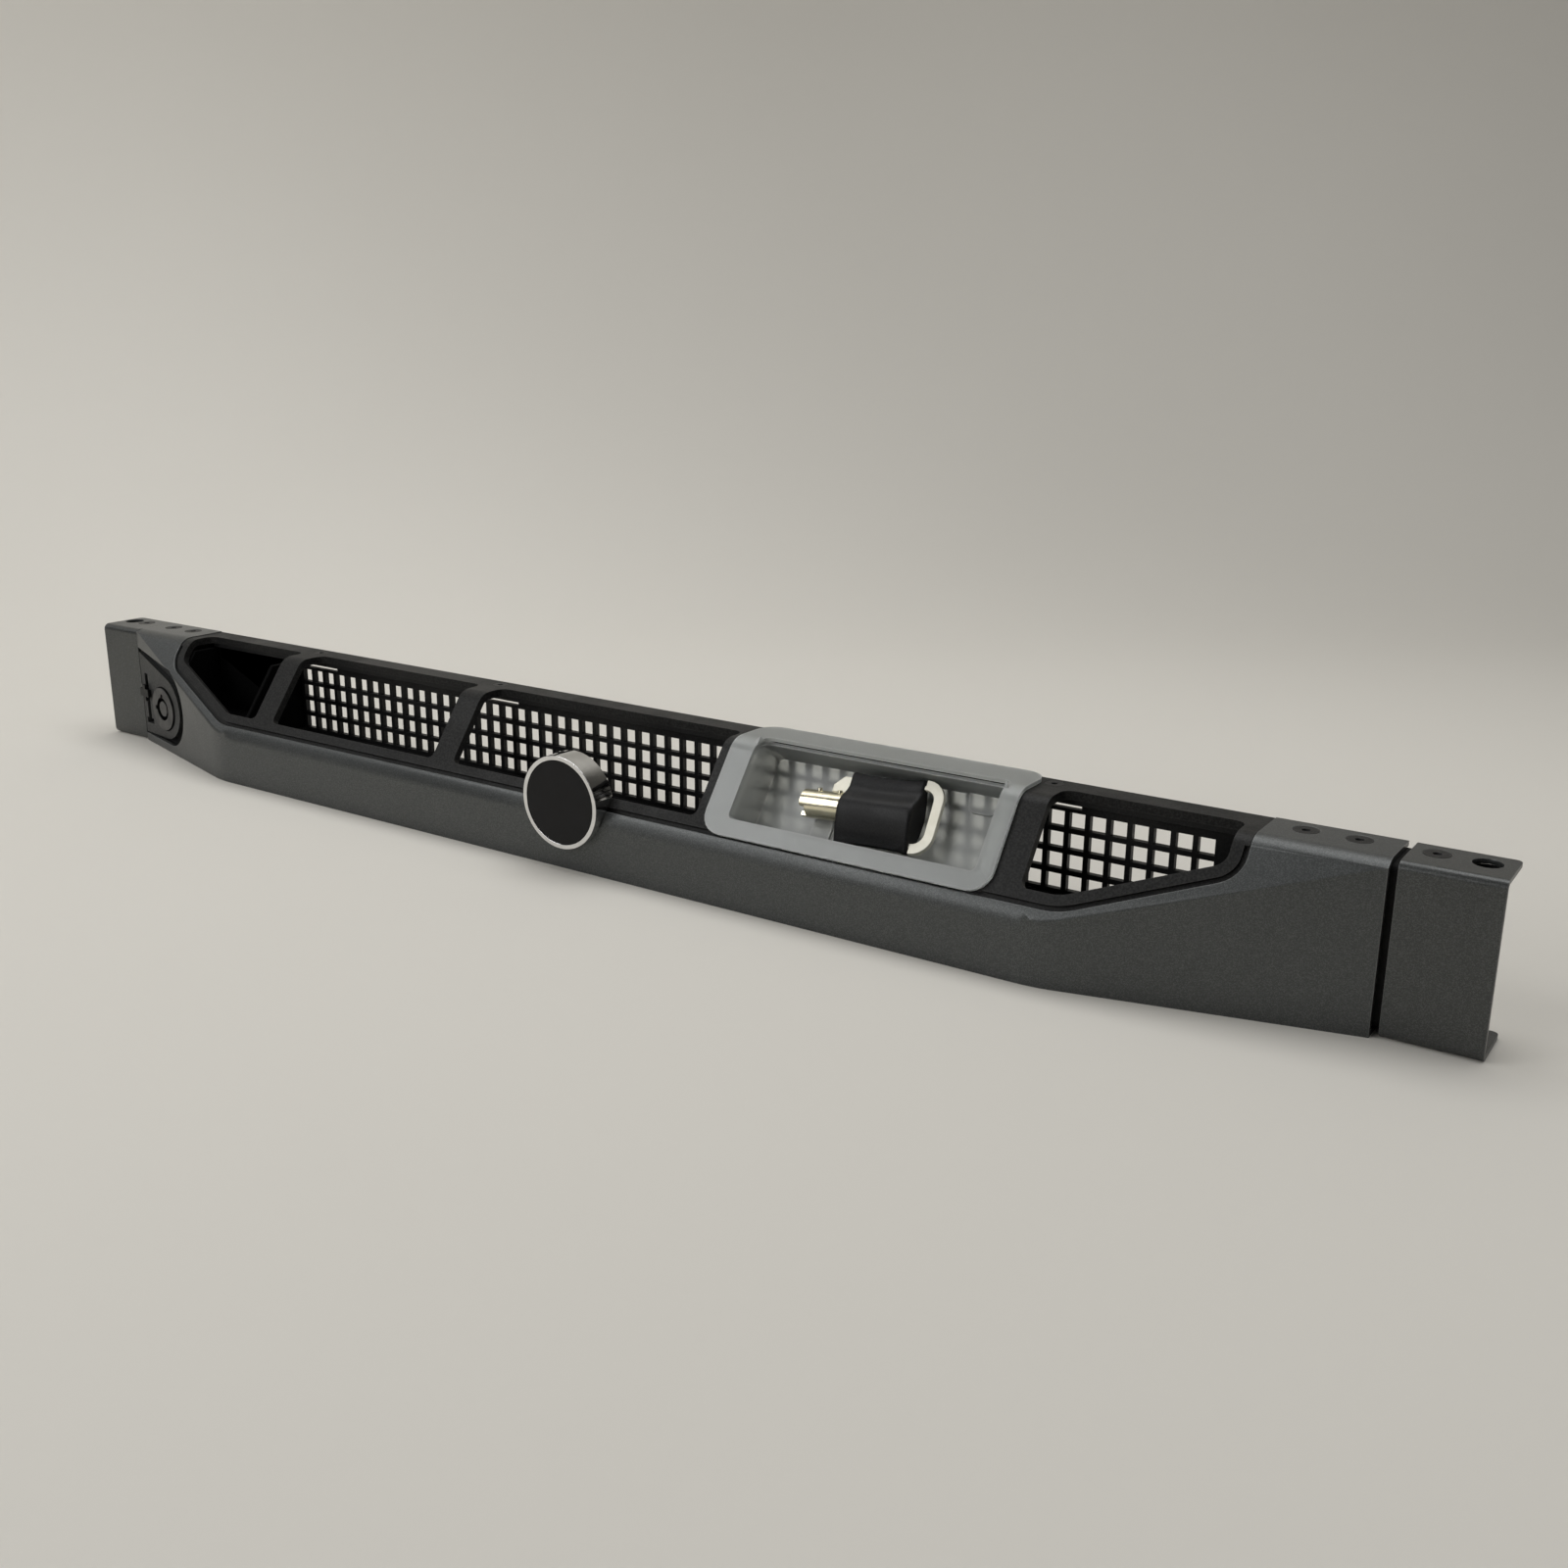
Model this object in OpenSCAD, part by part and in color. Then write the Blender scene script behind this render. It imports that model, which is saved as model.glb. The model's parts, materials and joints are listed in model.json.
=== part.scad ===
// Front bezel for a one-unit rack server.
// Millimetres. X runs to the right seen from the front, Y to the back, Z up.
// The origin is mid-length, at the front faces of the ears, on the bottom face.

/* [Overall size] */
// Length over both ears
overall_w = 482; // [470:1:500]
// Height over the painted sheet
bezel_h = 41; // [40.5:0.5:44]
// Distance from the ear fronts back to the rear edges
rear_depth = 16; // [16:0.5:19]
// Distance that the flat chin stands in front of the ears
chin_depth = 18.3; // [17.5:0.1:19.5]
// Thickness of the painted sheet
sheet = 1.2; // [1:0.1:1.5]

/* [Ears] */
// Length of the left ear
left_ear_w = 19.5; // [18:0.5:22]
// Length of the right ear
right_ear_w = 21.8; // [20:0.1:24]
// Open gap between the shell and the right ear
ear_gap = 1.7; // [1.5:0.1:4]
// Outside radius of the folds
fold_r = 2; // [1.6:0.2:3]
// Diameter of the clearance hole in each top flange
ear_hole_d = 6.3; // [5:0.1:7]
// Distance of the left hole from the outer end of its ear
left_hole_in = 4.2; // [4.2:0.1:7]
// Distance of the right hole from the outer end of its ear
right_hole_in = 6; // [4.2:0.1:7]

/* [Chin and slope] */
// Height of the crease along the flat chin
crease_z = 16.5; // [15:0.5:18]
// Angle of the sloping face above the crease
slope_angle = 53; // [52:0.5:54]
// Radius of the bend from the sloping face into the top
top_bend_r = 6; // [4:0.5:8]
// Angle of the left end of the chin, seen from above
chin_left_angle = 15.4; // [14.8:0.1:16]
// Angle of the right end of the chin, seen from above
chin_right_angle = 13.5; // [13:0.1:14.5]
// Radius between the flat chin and its angled ends
chin_blend_r = 40; // [20:5:60]

/* [Window frame] */
// Distance from the left end of the shell to the opening
opening_left_in = 27.5; // [26.5:0.5:29]
// Distance from the right end of the shell to the opening
opening_right_in = 29.5; // [29:0.5:32]
// Height of the opening's lower edge above the crease, along the slope
opening_rise = 3.2; // [2.8:0.2:4.4]
// Rise of the opening's cut corners for each millimetre of length
corner_rise = 0.44; // [0.4:0.01:0.48]
// Height of the cut corners along the slope
corner_h = 17; // [14:0.5:19]
// Width of the frame round the windows
border = 4.2; // [3.6:0.1:5]
// Thickness of the frame
frame_t = 2.3; // [1.8:0.1:2.6]
// Depth of the frame below the painted surface
frame_drop = 0.2; // [0.1:0.1:1]
// Width of the struts between the windows
strut_w = 8.6; // [8:0.1:10]
// Distance of the rail's front face from the ear fronts
rail_y = 9; // [8:0.5:10]

/* [Grille] */
// Spacing of the grille's holes
hole_pitch = 5.47; // [5:0.01:6]
// Width of each square hole
hole_w = 4.1; // [3.8:0.05:4.6]
// Number of rows of holes
hole_rows = 5; // [3:1:5]
// Thickness of the grille panel
panel_t = 1.7; // [1.2:0.1:2]

/* [Lock and latch] */
// Angle of the lock's seat, seen from above
seat_angle = 9.5; // [9:0.1:10]
// Diameter of the lock's face
lock_face_d = 15.6; // [14:0.2:16]
// Diameter of the lock's threaded body
lock_body_d = 12; // [11:0.5:12.5]
// Diameter of the lock's bore
lock_bore_d = 8.2; // [7.6:0.1:8.6]
// Width of the slot for the latch's finger tab
slot_w = 2.3; // [2:0.1:2.8]
// Travel of the release latch
latch_travel = 4; // [3:0.5:4.5]

/* [Badge] */
// Diameter of the badge
badge_d = 27; // [24:0.5:28]
// Distance of the badge's front from the chin
badge_proud = 2.7; // [2.2:0.1:3.5]
// Width of the bright rim round the badge's face
badge_rim = 1.3; // [1:0.1:2]

/* [Key and key holder] */
// Thickness of the moulded holder
holder_t = 1; // [0.8:0.1:1.2]
// Width of the holder's rim to the left of the pocket
holder_rim = 6.5; // [6:0.5:8]
// Width of the holder's rim to the right of the pocket
holder_rim_right = 3.9; // [3.5:0.1:5]
// Depth of the holder's pocket
pocket_depth = 11.5; // [11:0.5:12.5]
// Diameter of the key's tube
key_tube_d = 7.6; // [7:0.1:8]

/* [Fit] */
// Clearance between parts that are seated on each other
fit_gap = 0.1; // [0.05:0.01:0.15]
// Clearance round parts that slide or turn
run_gap = 0.3; // [0.2:0.05:0.35]
// Clearance between the frame and the edge of its opening
edge_gap = 0.25; // [0.15:0.05:0.3]

/* [Hidden] */
$fn = 48;

// Round stretches of an outline are drawn with this many steps.
arc_steps = 6;
// Cutting shapes reach this far past what they cut.
past = 1;

// Ends of the shell and of the ears.
x_left = -overall_w / 2;
x_right = overall_w / 2;
shell_x0 = x_left + left_ear_w;
shell_x1 = x_right - right_ear_w - ear_gap;
// Length of the slope, and where it would meet the top without the bend.
slope_s1 = (bezel_h - crease_z) / sin(slope_angle);
slope_y1 = (bezel_h - crease_z) / tan(slope_angle) - chin_depth;
// The right end of the chin stands this far in front of the ear.
chin_lip = 0.9;

// Opening of the shell for the window frame.
open_x0 = shell_x0 + opening_left_in;
open_x1 = shell_x1 - opening_right_in;
corner_run = corner_h / corner_rise;
open_corner_r = 8;
open_blend_r = 20;
// The opening is cut to this depth below the slope, and up past the top.
open_cut_depth = 16;
open_top = 60;
// The frame's hidden lip laps behind the painted sheet.
lip_w = 2.2;
lip_t = 1.2;
// A narrow ledge runs round the frame, below its face.
ledge_w = 1.1;
ledge_drop = 0.9;
ledge_s1 = slope_s1 - 2.7;
// Shares of the whole width at which the struts stand.
strut_x = [-0.28257, -0.11079, 0.09647, 0.27801] * overall_w;
window_r = 2;
rail_fillet_r = 3;

// Underside of the frame's top rail, where the grille panel is screwed on.
rail_z1 = bezel_h - frame_drop;
rail_z0 = rail_z1 - frame_t;

// Grille panel.
panel_y = slope_y1 + 11.84;
panel_x0 = open_x0 + border;
panel_x1 = open_x1 - border;
panel_flange_t = 1.3;
flange_y0 = rail_y + 0.4;
flange_y1 = rear_depth - 0.4;
hole_x0 = -1.47;
hole_z = rail_z0 - 6.3;
hole_first_x = strut_x[0] - strut_w / 2 - 6;
slot_half = 7.8;
slot_h = 1;
slot_top = rail_z0 - 2.3;
frame_screw_y = 12.5;

// Screws.
screw_d = 3;
screw_head_d = 6;
small_screw_d = 2.4;
small_head_d = 5;
flange_t = 2;
shell_screw_len = sheet + fit_gap + flange_t;
left_screw_x = shell_x0 + 7.2;
screw_step_left = 11.3;
right_screw_x = shell_x1 - 9.2;
screw_step_right = 11.8;
shell_screw_y = 10.6;
ear_screw_y = 10.4;
left_ear_screw_x = shell_x0 - 8.6;
right_ear_screw_x = shell_x1 + ear_gap + 5.5;
ear_hole_y = 10;

// Side baffle behind the first window.
baffle_t = 1.3;
baffle_x1 = hole_first_x - 0.5;
baffle_z0 = 13.5;

// Lock seat, in its own turned frame: u to the right, w to the back.
seat_r = 11.6;
seat_u = 16;
seat_z = 15;
seat_t = 2.2;
web_t = 1.8;
lock_u = 15.8;
lock_z = 14.3;
seat_cut_r = 14.3;
seat_cut_u = 24.6;
seat_cut_z = 17.2;
bracket_x0 = left_ear_screw_x - 3;
bracket_x1 = open_x0 - lip_w - 1;
bracket_z0 = sheet + fit_gap;
bracket_z1 = bezel_h - sheet - fit_gap;
bracket_r = fold_r + 0.4;
lock_flange_front = 0.6;
barrel_back = 11;
nut_w = seat_t + web_t + fit_gap;
nut_t = 3;
nut_af = 16;
plug_shoulder = 5;
plug_back = 12;
cam_t = 1.8;
cam_reach = 10.5;
cam_w = 6;
post_d = 5.6;
tail_w = 4;
latch_u = 4.05;
slot_z0 = 7;
tab_z = 18.6;
tab_neck = 3;
// The slot leaves the tab its travel, and a little more.
slot_z1 = tab_z + tab_neck / 2 + latch_travel + 1.4;
tab_w = 6;
tab_h = 2.8;
latch_w0 = seat_t + web_t + run_gap;
latch_t = 1.8;
latch_half = 2.8;
latch_z0 = 5;
spring_d = 4;
spring_wire = 0.6;
spring_turns = 5;
// Room above the latch for its travel and for the closed spring.
latch_z1 = bracket_z1 - flange_t - latch_travel - (spring_turns + 1) * spring_wire - fit_gap;

// Badge.
badge_z = 20.3;
badge_back = 7.5;
stud_x = 6;
stud_z = 12;
stud_d = 3;
clip_d = 7;
clip_t = 0.8;

// Key holder and key, on the slope: s up the slope, d below the painted surface.
holder_s0 = opening_rise + 0.4;
holder_r = 6;
// The pocket hangs between the two right-hand struts.
pocket_x0 = strut_x[2] + strut_w / 2 + 1.25;
pocket_x1 = strut_x[3] - strut_w / 2 - 2.55;
pocket_s0 = opening_rise + border + 0.2;
pocket_s1 = slope_s1 + 2.8;
pocket_r = 3.4;
pocket_draft = 0.9;
// The pocket's mouth reaches back over the bend, with a straight lip under it.
mouth_y = slope_y1 + 4.8;
mouth_lip = 1.8;
pad_t = 0.8;
pad_h = 6;
pad_w = 10;
pad_in = 5;
shank_pad_w = 6;
shank_pad_r = 2.8;
key_d = 6.6;
key_x = (pocket_x0 + pocket_x1) / 2 + 2.6;
key_s = (pocket_s0 + pocket_s1) / 2;
key_turn = 3.5;
grip_w = 21.6;
// The grip fills the pocket from wall to wall.
grip_h = (pocket_s1 - pocket_s0 - 2 * (holder_t + pocket_draft + 1.2 * fit_gap)
          - grip_w * sin(key_turn)) / cos(key_turn);
grip_t = 9.4;
grip_edge = 4;
grip_waist = 0.8;
tube_len = 11.6;
tube_in = 6;
bow_t = 1.6;
bow_reach = 6;
bow_h = grip_h - 0.4;
bow_strip = 2.7;
bow_neck = 1.6;
bow_in = 8;
shoulder_w = 4.6;
shoulder_cut = 2.6;

// Outline with rounded corners: each point is [x, y, corner radius].
function unit(v) = v / norm(v);
function corner(a, p, b, r) =
    r <= 0 ? [p] :
    let (u = unit(a - p), v = unit(b - p), half = acos(u * v) / 2,
         centre = p + unit(u + v) * r / sin(half),
         start = p + u * r / tan(half) - centre, finish = p + v * r / tan(half) - centre,
         a0 = atan2(start.y, start.x),
         turn = (atan2(finish.y, finish.x) - a0 + 540) % 360 - 180)
    [for (i = [0 : arc_steps])
        centre + r * [cos(a0 + turn * i / arc_steps), sin(a0 + turn * i / arc_steps)]];
function flat(p) = [p.x, p.y];
function rounded(path) =
    let (m = len(path))
    [for (i = [0 : m - 1])
        each corner(flat(path[(i + m - 1) % m]), flat(path[i]), flat(path[(i + 1) % m]),
                    path[i].z)];

// Extrudes a (y, z) outline along x from x0 to x1.
module along_x(x0, x1) {
    translate([x0, 0, 0]) rotate([90, 0, 90]) linear_extrude(x1 - x0) children();
}

// Places children on the sloping face: x stays, y runs up the slope, z points out of it.
module on_slope(depth = 0) {
    translate([0, -chin_depth, crease_z]) rotate([slope_angle, 0, 0])
        translate([0, 0, -depth]) children();
}

// Places children on the lock's seat: x to the right, y to the back, z up.
module at_seat() {
    translate([shell_x0, 0, 0]) rotate([0, 0, -seat_angle]) children();
}

// Seen from above: the chin and its angled ends, moved inwards by off.
function plan(off, x0, x1, back) =
    let (tl = tan(chin_left_angle), tr = tan(chin_right_angle),
         kl = off / cos(chin_left_angle), kr = off / cos(chin_right_angle),
         front = -chin_depth + off)
    [[x0, -(x0 - shell_x0) * tl + kl, 0],
     [shell_x0 + (kl - front) / tl, front, chin_blend_r - off],
     [shell_x1 - (kr - chin_lip - front) / tr, front, chin_blend_r - off],
     [x1, (x1 - shell_x1) * tr - chin_lip + kr, 0],
     [x1, back, 0], [x0, back, 0]];

// Seen from the end: behind the sloping face and under the top, moved inwards by off.
function side(off, z0, y1) =
    let (t = tan(slope_angle), k = off / sin(slope_angle), top = bezel_h - off)
    [[-chin_depth + k + (z0 - crease_z) / t, z0, 0],
     [-chin_depth + k + (top - crease_z) / t, top, max(top_bend_r - off, 0.4)],
     [y1, top, 0], [y1, z0, 0]];

// The bezel's outside form, moved inwards by off.
module form(off, x0 = shell_x0, x1 = shell_x1, z0 = 0, y1 = rear_depth) {
    intersection() {
        translate([0, 0, z0]) linear_extrude(bezel_h + past)
            polygon(rounded(plan(off, x0, x1, y1)));
        along_x(x0, x1) polygon(rounded(side(off, z0, y1)));
    }
}

// The same form along the flat chin only.
module middle_form(off, x0, x1, z0, y1) {
    front = -chin_depth + off;
    crease = crease_z + off * (tan(slope_angle) - 1 / cos(slope_angle));
    bend = side(off, z0, y1);
    along_x(x0, x1)
        polygon(rounded([[front, z0, 0], [front, crease, 0], bend[1], bend[2], bend[3]]));
}

// Outline of the frame's opening on the slope, moved inwards by c.
function opening(c, top) =
    let (k = sqrt(1 + corner_rise * corner_rise), dx = c * (k - 1) / corner_rise,
         s0 = opening_rise, x2 = open_x0 + corner_run, x3 = open_x1 - corner_run,
         side_s = s0 + (corner_run - c) * corner_rise + c * k)
    [[open_x0 + c, top, 0], [open_x0 + c, side_s, max(open_corner_r - c, 2)],
     [x2 + dx, s0 + c, open_blend_r], [x3 - dx, s0 + c, open_blend_r],
     [open_x1 - c, side_s, max(open_corner_r - c, 2)], [open_x1 - c, top, 0]];

// Body of the opening between two depths below the slope.
module opening_body(c, above, below) {
    on_slope(below) linear_extrude(above + below) polygon(rounded(opening(c, open_top)));
}

// Hole for a countersunk screw through the top sheet.
module countersink(x, y, z, t, d, head) {
    translate([x, y, z - t]) cylinder(h = t, d1 = d + 2 * fit_gap, d2 = head + 2 * fit_gap);
    translate([x, y, z - t - past]) cylinder(h = t + past, d = d + 2 * fit_gap);
}

module flat_head_screw(x, y, z, t, d, head, len) {
    difference() {
        translate([x, y, z]) union() {
            translate([0, 0, -t]) cylinder(h = t, d1 = d, d2 = head);
            translate([0, 0, -len]) cylinder(h = len - t / 2, d = d);
        }
        translate([x, y, z - t / 2]) cylinder(h = t, d = head * 0.36, $fn = 6);
    }
}

function left_screws() = [for (i = [0, 1]) left_screw_x + i * screw_step_left];
function right_screws() = [for (i = [0, 1]) right_screw_x - i * screw_step_right];

// ---- Painted sheet ----

module seat_cut() {
    // D-shaped opening in the left end of the chin, square to that face.
    top_left = seat_cut_z + seat_cut_r + 3.2;
    translate([shell_x0, 0, 0]) rotate([0, 0, -chin_left_angle])
        translate([0, 8, 0]) rotate([90, 0, 0]) linear_extrude(8 + 2) union() {
            translate([seat_cut_u, seat_cut_z]) circle(r = seat_cut_r);
            polygon([[-past, seat_cut_z - seat_cut_r], [seat_cut_u, seat_cut_z - seat_cut_r],
                     [seat_cut_u + seat_cut_r * sin(12), seat_cut_z + seat_cut_r * cos(12)],
                     [-past, top_left]]);
        }
}

module front_shell() {
    color([0.27, 0.28, 0.29]) difference() {
        form(0);
        form(sheet, shell_x0 - past, shell_x1 + past, sheet, rear_depth + past);
        opening_body(0, past, open_cut_depth);
        seat_cut();
        for (x = left_screws())
            countersink(x, shell_screw_y, bezel_h, sheet, screw_d, screw_head_d);
        for (x = right_screws())
            countersink(x, shell_screw_y, bezel_h, sheet, screw_d, screw_head_d);
        for (x = [-stud_x, stud_x])
            translate([x, -chin_depth + sheet + past, stud_z]) rotate([90, 0, 0])
                cylinder(h = sheet + 2 * past, d = stud_d + 2 * run_gap);
    }
}

// Section of a folded channel that is open to the back.
module channel(y0, y1, z0, z1, r) {
    polygon(rounded([[y0, z0, r], [y0, z1, r], [y1, z1, 0], [y1, z0, 0]]));
}

// Folded channel, open to the back and at both ends.
module ear(x0, x1, hole_x, screw_x, outer_right) {
    back_r = 1.5;
    c0 = outer_right ? 0 : back_r;
    c1 = outer_right ? back_r : 0;
    difference() {
        intersection() {
            along_x(x0, x1) difference() {
                channel(0, rear_depth, 0, bezel_h, fold_r);
                channel(sheet, rear_depth + past, sheet, bezel_h - sheet, fold_r - sheet);
            }
            translate([0, 0, -past]) linear_extrude(bezel_h + 2 * past)
                polygon(rounded([[x0, -past, 0], [x0, rear_depth, c0],
                                 [x1, rear_depth, c1], [x1, -past, 0]]));
        }
        translate([hole_x, ear_hole_y, bezel_h - sheet - past])
            cylinder(h = sheet + 2 * past, d = ear_hole_d);
        countersink(screw_x, ear_screw_y, bezel_h, sheet, screw_d, screw_head_d);
    }
}

module left_ear() {
    color([0.27, 0.28, 0.29])
        ear(x_left, shell_x0 - fit_gap, x_left + left_hole_in, left_ear_screw_x, false);
}

module right_ear() {
    color([0.27, 0.28, 0.29])
        ear(shell_x1 + ear_gap, x_right, x_right - right_hole_in, right_ear_screw_x, true);
}

// ---- Window frame and grille ----

// Bottom of a window at x, on the slope.
function window_low(x) =
    let (c = border, k = sqrt(1 + corner_rise * corner_rise), s0 = opening_rise)
    max(s0 + c, s0 + (open_x0 + corner_run - x) * corner_rise + c * k,
        s0 + (x - open_x1 + corner_run) * corner_rise + c * k);

function window_path(a, b) =
    let (low = opening_rise + border, left_cut = window_low(a) > low + past,
         right_cut = window_low(b) > low + past,
         dx = border * (sqrt(1 + corner_rise * corner_rise) - 1) / corner_rise)
    [[a, open_top, 0], [a, window_low(a), left_cut ? 4 : window_r],
     if (left_cut) [open_x0 + corner_run + dx, low, 6],
     if (right_cut) [open_x1 - corner_run - dx, low, 12],
     [b, window_low(b), right_cut ? 4 : window_r], [b, open_top, 0]];

module window_cut(a, b) {
    intersection() {
        on_slope(open_cut_depth) linear_extrude(open_cut_depth + past)
            polygon(rounded(window_path(a, b)));
        linear_extrude(bezel_h + past)
            polygon(rounded([[a, -2 * chin_depth, 0], [b, -2 * chin_depth, 0],
                             [b, rail_y, rail_fillet_r], [a, rail_y, rail_fillet_r]]));
    }
}

// A curved band of the bezel's form between two depths.
module band(outer, inner) {
    difference() {
        form(outer, open_x0 - 2 * lip_w, open_x1 + 2 * lip_w, sheet, rear_depth);
        form(inner, open_x0 - 2 * lip_w - past, open_x1 + 2 * lip_w + past, -past,
             rear_depth + past);
    }
}

module window_frame() {
    edges = [open_x0 + border, for (x = strut_x) each [x - strut_w / 2, x + strut_w / 2],
             open_x1 - border];
    color([0.1, 0.1, 0.1]) difference() {
        union() {
            intersection() {
                band(frame_drop, frame_drop + frame_t);
                opening_body(edge_gap, past, open_cut_depth);
            }
            intersection() {
                band(sheet + fit_gap, sheet + fit_gap + lip_t);
                opening_body(-lip_w, past, open_cut_depth);
            }
        }
        difference() {
            on_slope(frame_drop + ledge_drop) linear_extrude(frame_drop + ledge_drop + past)
                polygon(rounded(opening(0, ledge_s1)));
            on_slope(frame_drop + ledge_drop + past)
                linear_extrude(frame_drop + ledge_drop + 3 * past)
                    polygon(rounded(opening(edge_gap + ledge_w, ledge_s1 + past)));
        }
        for (i = [0 : 2 : len(edges) - 2]) window_cut(edges[i], edges[i + 1]);
        for (x = strut_x)
            countersink(x, frame_screw_y, rail_z1, frame_t, small_screw_d, small_head_d);
    }
}

module grille_panel() {
    first = ceil((hole_first_x - hole_x0) / hole_pitch);
    last = floor((panel_x1 - hole_w / 2 - 5 - hole_x0) / hole_pitch);
    color([0.06, 0.06, 0.06]) difference() {
        union() {
            translate([0, panel_y + panel_t, 0]) rotate([90, 0, 0]) linear_extrude(panel_t)
                difference() {
                    translate([panel_x0, sheet + fit_gap])
                        square([panel_x1 - panel_x0, rail_z0 - sheet - 2 * fit_gap]);
                    for (i = [first : last], j = [0 : hole_rows - 1])
                        translate([hole_x0 + i * hole_pitch, hole_z - j * hole_pitch])
                            square(hole_w, center = true);
                    for (x = strut_x)
                        translate([x - slot_half, slot_top - slot_h])
                            square([2 * slot_half, slot_h]);
                }
            translate([panel_x0, flange_y0, rail_z0 - fit_gap - panel_flange_t])
                cube([panel_x1 - panel_x0, flange_y1 - flange_y0, panel_flange_t]);
            translate([panel_x0, panel_y, sheet + fit_gap])
                cube([panel_x1 - panel_x0, flange_y1 - panel_y, panel_flange_t]);
        }
        for (x = strut_x)
            translate([x, frame_screw_y, rail_z0 - panel_flange_t - past])
                cylinder(h = panel_flange_t + 2 * past, d = small_screw_d + 2 * fit_gap);
    }
}

// Wall that closes off the first window, with a side towards the second and a
// wing that closes the corner behind the keylock.
module side_baffle() {
    x0 = panel_x0;
    wing_l = 19;
    wing_rise = 13.5;
    wing_x0 = x0 - wing_l;
    wing_z0 = lock_z + wing_rise;
    wall_z1 = rail_z0 - fit_gap - panel_flange_t;
    depth = frame_drop + frame_t + fit_gap;
    color([0.05, 0.05, 0.05]) intersection() {
        form(depth, shell_x0, shell_x1, sheet, panel_y - fit_gap);
        union() {
            translate([x0, panel_y - fit_gap - baffle_t, baffle_z0])
                cube([baffle_x1 - x0, baffle_t, wall_z1 - baffle_z0]);
            translate([baffle_x1 - baffle_t, -chin_depth, baffle_z0])
                cube([baffle_t, chin_depth + panel_y, wall_z1 - fit_gap - baffle_z0]);
            translate([x0, -chin_depth, baffle_z0])
                cube([baffle_t, chin_depth + panel_y, wall_z1 - fit_gap - baffle_z0]);
            translate([x0, 0, baffle_z0])
                cube([baffle_x1 - x0, panel_y, baffle_t]);
            for (span = [[wing_x0, x0 + baffle_t, wall_z1],
                         [wing_x0, x0 - fit_gap, bracket_z1 - flange_t - fit_gap],
                         [bracket_x1 + fit_gap, x0 - fit_gap, rail_z0 - fit_gap]])
                translate([span[0], panel_y - fit_gap - baffle_t, wing_z0])
                    cube([span[1] - span[0], baffle_t, span[2] - wing_z0]);
        }
    }
}

// ---- Brackets ----

module seat_tile() {
    u0 = fit_gap + 0.15;
    inner_rise = 6.4;
    tile_t = seat_t + web_t / 2;
    rotate([90, 0, 0]) translate([0, 0, -tile_t]) linear_extrude(tile_t) union() {
        translate([seat_u, seat_z]) circle(r = seat_r);
        polygon([[u0, seat_z - seat_r], [seat_u, seat_z - seat_r],
                 [seat_u + seat_r * sin(24), seat_z + seat_r * cos(24)],
                 [u0, seat_z + seat_r + inner_rise]]);
    }
}

// Channel under the shell and the left ear, with the lock's seat on its front.
module lock_bracket() {
    web_u1 = (bracket_x1 - shell_x0) / cos(seat_angle);
    guide_w = 0.9;
    color([0.2, 0.21, 0.22]) difference() {
        union() {
            at_seat() seat_tile();
            intersection() {
                form(bracket_z0, bracket_x0, shell_x1, bracket_z0, rear_depth - 1);
                union() {
                    at_seat() translate([bracket_x0 - shell_x0, seat_t, bracket_z0])
                        cube([web_u1 - bracket_x0 + shell_x0, web_t, bezel_h]);
                    for (z = [bracket_z0 - past, bracket_z1 - flange_t])
                        translate([bracket_x0 - past, seat_t + web_t / 2, z])
                            cube([bracket_x1 - bracket_x0 + past, rear_depth, flange_t + past]);
                }
            }
            for (u = [latch_u - latch_half - run_gap - guide_w, latch_u + latch_half + run_gap])
                at_seat() translate([u, seat_t + web_t - 0.5, latch_z1 - 6])
                    cube([guide_w, 0.5 + run_gap + latch_t, 5]);
        }
        at_seat() {
            translate([lock_u, -past, lock_z]) rotate([-90, 0, 0])
                cylinder(h = seat_t + past, d = lock_face_d + 2 * run_gap);
            translate([lock_u, 0, lock_z]) rotate([-90, 0, 0])
                cylinder(h = seat_t + web_t + past, d = lock_body_d + 2 * fit_gap);
            translate([latch_u - slot_w / 2, -past, slot_z0])
                cube([slot_w, seat_t + web_t + 2 * past, slot_z1 - slot_z0]);
            translate([latch_u - 2.5, -past, slot_z0])
                cube([5, seat_t + web_t + 2 * past, 2]);
        }
        for (x = left_screws())
            translate([x, shell_screw_y, bracket_z1 - flange_t - past])
                cylinder(h = flange_t + 2 * past, d = screw_d + 2 * fit_gap);
        translate([left_ear_screw_x, ear_screw_y, bracket_z1 - flange_t - past])
            cylinder(h = flange_t + 2 * past, d = screw_d + 2 * fit_gap);
    }
}

// Channel behind the right end of the shell and the right ear, with two fixed hooks.
module hook_bracket() {
    x0 = open_x1 + lip_w + 1;
    x1 = right_ear_screw_x + 4;
    web_y = sheet + fit_gap;
    hook_l = 6;
    hook_h = 5;
    color([0.07, 0.07, 0.07]) difference() {
        union() {
            along_x(x0, x1) difference() {
                channel(web_y, rear_depth - 1, bracket_z0, bracket_z1, bracket_r);
                channel(web_y + web_t, rear_depth, bracket_z0 + flange_t,
                        bracket_z1 - flange_t, 0.5);
            }
            for (z = [bezel_h * 0.22, bezel_h * 0.66]) {
                translate([x1 - past, web_y, z]) cube([hook_l + past, web_t, hook_h]);
                translate([x1 + hook_l - web_t, web_y, z]) cube([web_t, 5, hook_h]);
            }
        }
        for (x = right_screws())
            translate([x, shell_screw_y, bracket_z1 - flange_t - past])
                cylinder(h = flange_t + 2 * past, d = screw_d + 2 * fit_gap);
        translate([right_ear_screw_x, ear_screw_y, bracket_z1 - flange_t - past])
            cylinder(h = flange_t + 2 * past, d = screw_d + 2 * fit_gap);
    }
}

// ---- Keylock ----

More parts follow.
